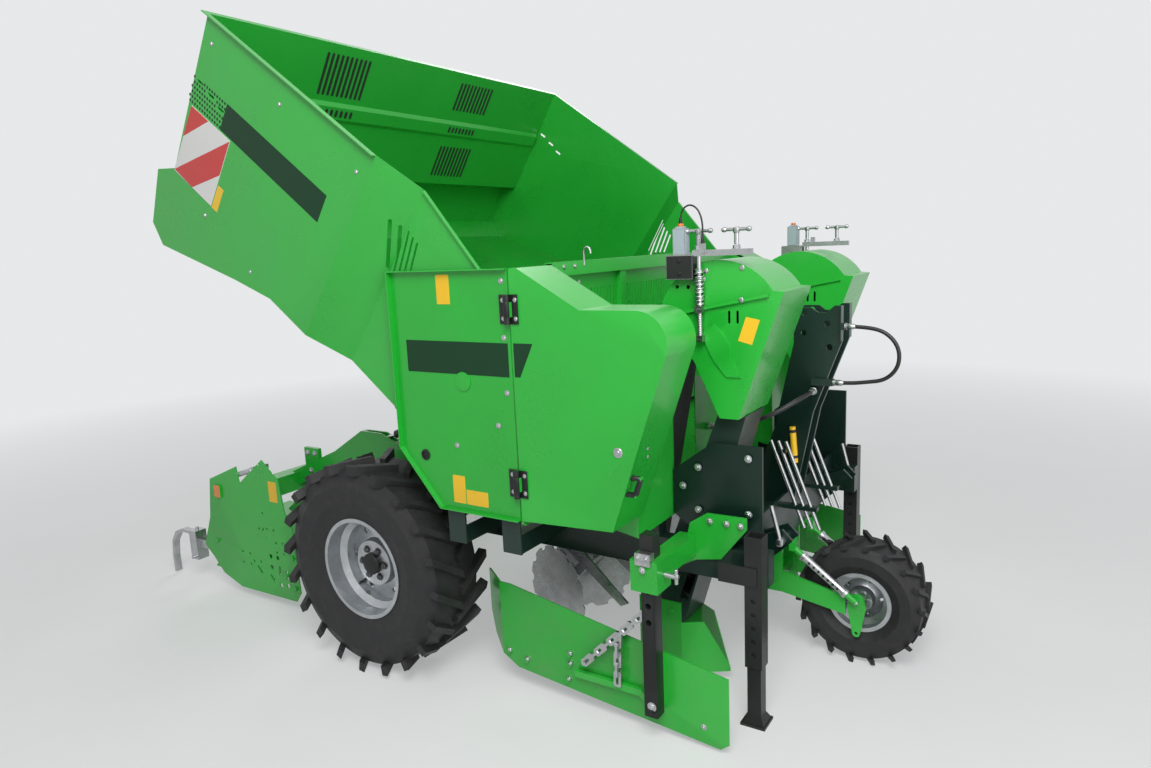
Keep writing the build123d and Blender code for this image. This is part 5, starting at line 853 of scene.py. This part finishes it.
for side, word in SIDES:
    form = bmesh.new()
    low, high = at(side * TOP_BAR_X, *TOP_BAR_REAR), at(side * TOP_BAR_X, *TOP_BAR_FRONT)
    turned(form, low, high - low, [(BAR_BORE, 96), (15, 96), (15, 108), (12.5, 110), (12.5, 290), (15, 292),
                                   (15, 304), (BAR_BORE, 304)], 6, True)
    turned(form, low, high - low, [(BAR_BORE, 120), (14, 120), (14, 280), (BAR_BORE, 280)], 24, True)
    for x, fwd, z in ARM_BOLTS:
        hex_bolt(form, at(side * x, fwd, z), outwards(side), 11.0, 8.0)
    make(f"ridger_adjuster_{word}", form, STEEL, "ridger")
form = bmesh.new()
side_plate(form, 865, rectangle(-1285, -1239, 513, 577, 8), 3.0, chamfer=1.2)
make("ridger_reflector", form, AMBER, "ridger")
form = bmesh.new()
side_plate(form, 856, rectangle(-852, -792, 545, 648, 4), 0.7)
make("ridger_sticker", form, YELLOW, "ridger")


# A bare label and bolts seen in the photograph, placed by its pixels
LABEL_PIXELS = ((738, 341), (746, 317), (760, 320), (752, 345))
BULKHEAD_PIXELS = ((564, 267), (575, 266), (579, 282))
ELEMENT_PIXELS = ((706, 271), (703, 279), (742, 268), (741, 300))
DOOR_PIXELS = ((648, 449), (648, 457))
SHIELD_PIXELS = ((510.4, 649.3), (527.9, 658.4), (570.6, 653.0), (570.7, 663.0), (569.4, 678.5),
                 (704.0, 727.0))
POST_PIXEL = (652.0, 707.0)
SHIELD_BOLT, POST_BOLT, SHIELD_BOLT_SHARE = 8.5, 13.0, 0.53

spots = [seen(px, py, "element_housing_right") for px, py in LABEL_PIXELS]
way = sum((normal for _, normal in spots), Vector()).normalized()
form = bmesh.new()
slab(form, [spot for spot, _ in spots], way, 0.9, 0.3, 0.6)
make("element_sticker", form, YELLOW, "frame")


def seen_bolts(name, pixels, node, body, size):
    """Bolts without a stud where the photograph shows them on a solid."""
    form = bmesh.new()
    for px, py in pixels:
        spot, normal = seen(px, py, node)
        hex_bolt(form, spot, normal, size, size * 0.6, False)
    make(name, form, STEEL, body)


seen_bolts("bulkhead_bolts", BULKHEAD_PIXELS, "bulkhead", "frame", 7.0)
seen_bolts("element_bolts", ELEMENT_PIXELS, "element_housing_right", "frame", 7.0)
seen_bolts("door_front_screws", DOOR_PIXELS, "door_right", "door_right", 5.0)

# Bolts on the side shield and one on its post's foot, and the same on the far side
form, twin = bmesh.new(), bmesh.new()
for node, pixels, size in (("side_shield_right", SHIELD_PIXELS, SHIELD_BOLT),
                           ("shield_post_right", (POST_PIXEL,), POST_BOLT)):
    for px, py in pixels:
        spot, normal = seen(px, py, node)
        hex_bolt(form, spot, normal, size, size * SHIELD_BOLT_SHARE)
        hex_bolt(twin, Vector((-spot.x, spot.y, spot.z)), Vector((-normal.x, normal.y, normal.z)),
                 size, size * SHIELD_BOLT_SHARE)
make("shield_bolts_right", form, STEEL, "frame")
make("shield_bolts_left", twin, STEEL, "frame")

# Hook on the bulkhead's lip, and the yellow sleeve by the mast's foot with its two clips
HOOK_PIXEL = (584, 263)
HOOK_PATH = [(0, 0, -8), (0, 0, 44), (0, 5, 54), (0, 15, 58), (0, 25, 54), (0, 29, 44), (0, 29, 34)]
YELLOW_X, YELLOW_PATH = 74, ((1462, 948), (1466, 900), (1470, 850), (1473, 802))
CLIP_HEIGHTS, CLIP_WAY = (820, 925), Vector((0, -0.07, 1))
CLIP_FWD, CLIP_FROM_Z, CLIP_LEAN = 1472, 802, 0.075

foot, _ = seen(*HOOK_PIXEL, "bulkhead")
wire("bulkhead_hook", [foot + Vector(step) * MM for step in HOOK_PATH], 4.5, STEEL, "frame")
wire("yellow_sleeve", [at(YELLOW_X, fwd, z) for fwd, z in YELLOW_PATH], 12.8, YELLOW, "frame")
form = bmesh.new()
for z in CLIP_HEIGHTS:
    turned(form, at(YELLOW_X, CLIP_FWD - (z - CLIP_FROM_Z) * CLIP_LEAN, z), CLIP_WAY,
           [(13.2, 0), (14.6, 1), (14.6, 11), (13.2, 12)], 24, True)
    brick(form, (61.2, 1456, z + 1), (66, 1482, z + 11), 1)
make("yellow_sleeve_clips", form, BLACK, "frame")


# Floor, background and lights
FLOOR_SIZE = 80
PALE = (0.80, 0.81, 0.82)
GLOW_REACH, GLOW_SHARE = (2.6, 8.0), (0.42, 1.0)
SKY_COLOR, SKY_STRENGTH = (0.80, 0.82, 0.85), 0.30
LAMPS = (("key", (3400, 2600, 4300), 2.4, 185), ("fill", (2600, 5200, 2200), 3.5, 70),
         ("back", (-3600, -2500, 3800), 3.0, 90))
LAMP_AIM = at(0, 300, 900)


def looking_rays(tree):
    """1 for rays from the camera, also after a reflection, and 0 for those that only light things."""
    path = tree.nodes.new("ShaderNodeLightPath")
    return joined(tree, "MAXIMUM", path.outputs["Is Camera Ray"],
                  joined(tree, "MAXIMUM", path.outputs["Is Glossy Ray"], path.outputs["Is Transmission Ray"]))


def picked(tree, factor, first, second, target):
    """Two shaders mixed by a factor, into a target socket."""
    blend = tree.nodes.new("ShaderNodeMixShader")
    tree.links.new(factor, blend.inputs["Fac"])
    tree.links.new(first, blend.inputs[1])
    tree.links.new(second, blend.inputs[2])
    tree.links.new(blend.outputs["Shader"], target)


def make_floor():
    """A pale floor that glows towards its far parts, so that it meets the background softly."""
    bpy.ops.mesh.primitive_plane_add(size=FLOOR_SIZE, location=(0, 0, 0))
    floor = bpy.context.object
    floor.name = "floor"
    material, tree, shader = shade("floor_pale", (0.78, 0.78, 0.77), 0.85)
    shader.inputs["Specular IOR Level"].default_value = 0.15
    tree.links.new(ramp(tree, noise(tree, 1.2), MOTTLE, ((0.76, 0.76, 0.755), (0.80, 0.80, 0.795))),
                   shader.inputs["Base Color"])
    place = tree.nodes.new("ShaderNodeNewGeometry")
    span = tree.nodes.new("ShaderNodeVectorMath")
    span.operation = "LENGTH"
    tree.links.new(place.outputs["Position"], span.inputs[0])
    far = grey(tree, span.outputs["Value"], GLOW_REACH, GLOW_SHARE)
    glow = tree.nodes.new("ShaderNodeEmission")
    glow.inputs["Color"].default_value = (*PALE, 1)
    glow.inputs["Strength"].default_value = 1.0
    picked(tree, joined(tree, "MULTIPLY", looking_rays(tree), far), shader.outputs["BSDF"],
           glow.outputs["Emission"], tree.nodes["Material Output"].inputs["Surface"])
    floor.data.materials.append(material)


def make_background():
    """A soft sky that lights the machine, and a paler one that the camera sees."""
    world = bpy.data.worlds.new("studio")
    bpy.context.scene.world = world
    world.use_nodes = True
    tree = world.node_tree
    sky = tree.nodes["Background"]
    sky.inputs["Color"].default_value = (*SKY_COLOR, 1)
    sky.inputs["Strength"].default_value = SKY_STRENGTH
    shown = tree.nodes.new("ShaderNodeBackground")
    shown.inputs["Color"].default_value = (*PALE, 1)
    shown.inputs["Strength"].default_value = 1.0
    picked(tree, looking_rays(tree), sky.outputs["Background"], shown.outputs["Background"],
           tree.nodes["World Output"].inputs["Surface"])


def make_lamps():
    for name, place, size, power in LAMPS:
        lamp = bpy.data.lights.new(name, "AREA")
        lamp.size = size
        lamp.energy = power
        holder = bpy.data.objects.new(name, lamp)
        holder.location = at(*place)
        holder.rotation_euler = (LAMP_AIM - at(*place)).to_track_quat("-Z", "Y").to_euler()
        bpy.context.scene.collection.objects.link(holder)


make_floor()
make_background()
make_lamps()
bpy.context.scene.view_settings.view_transform = "Standard"
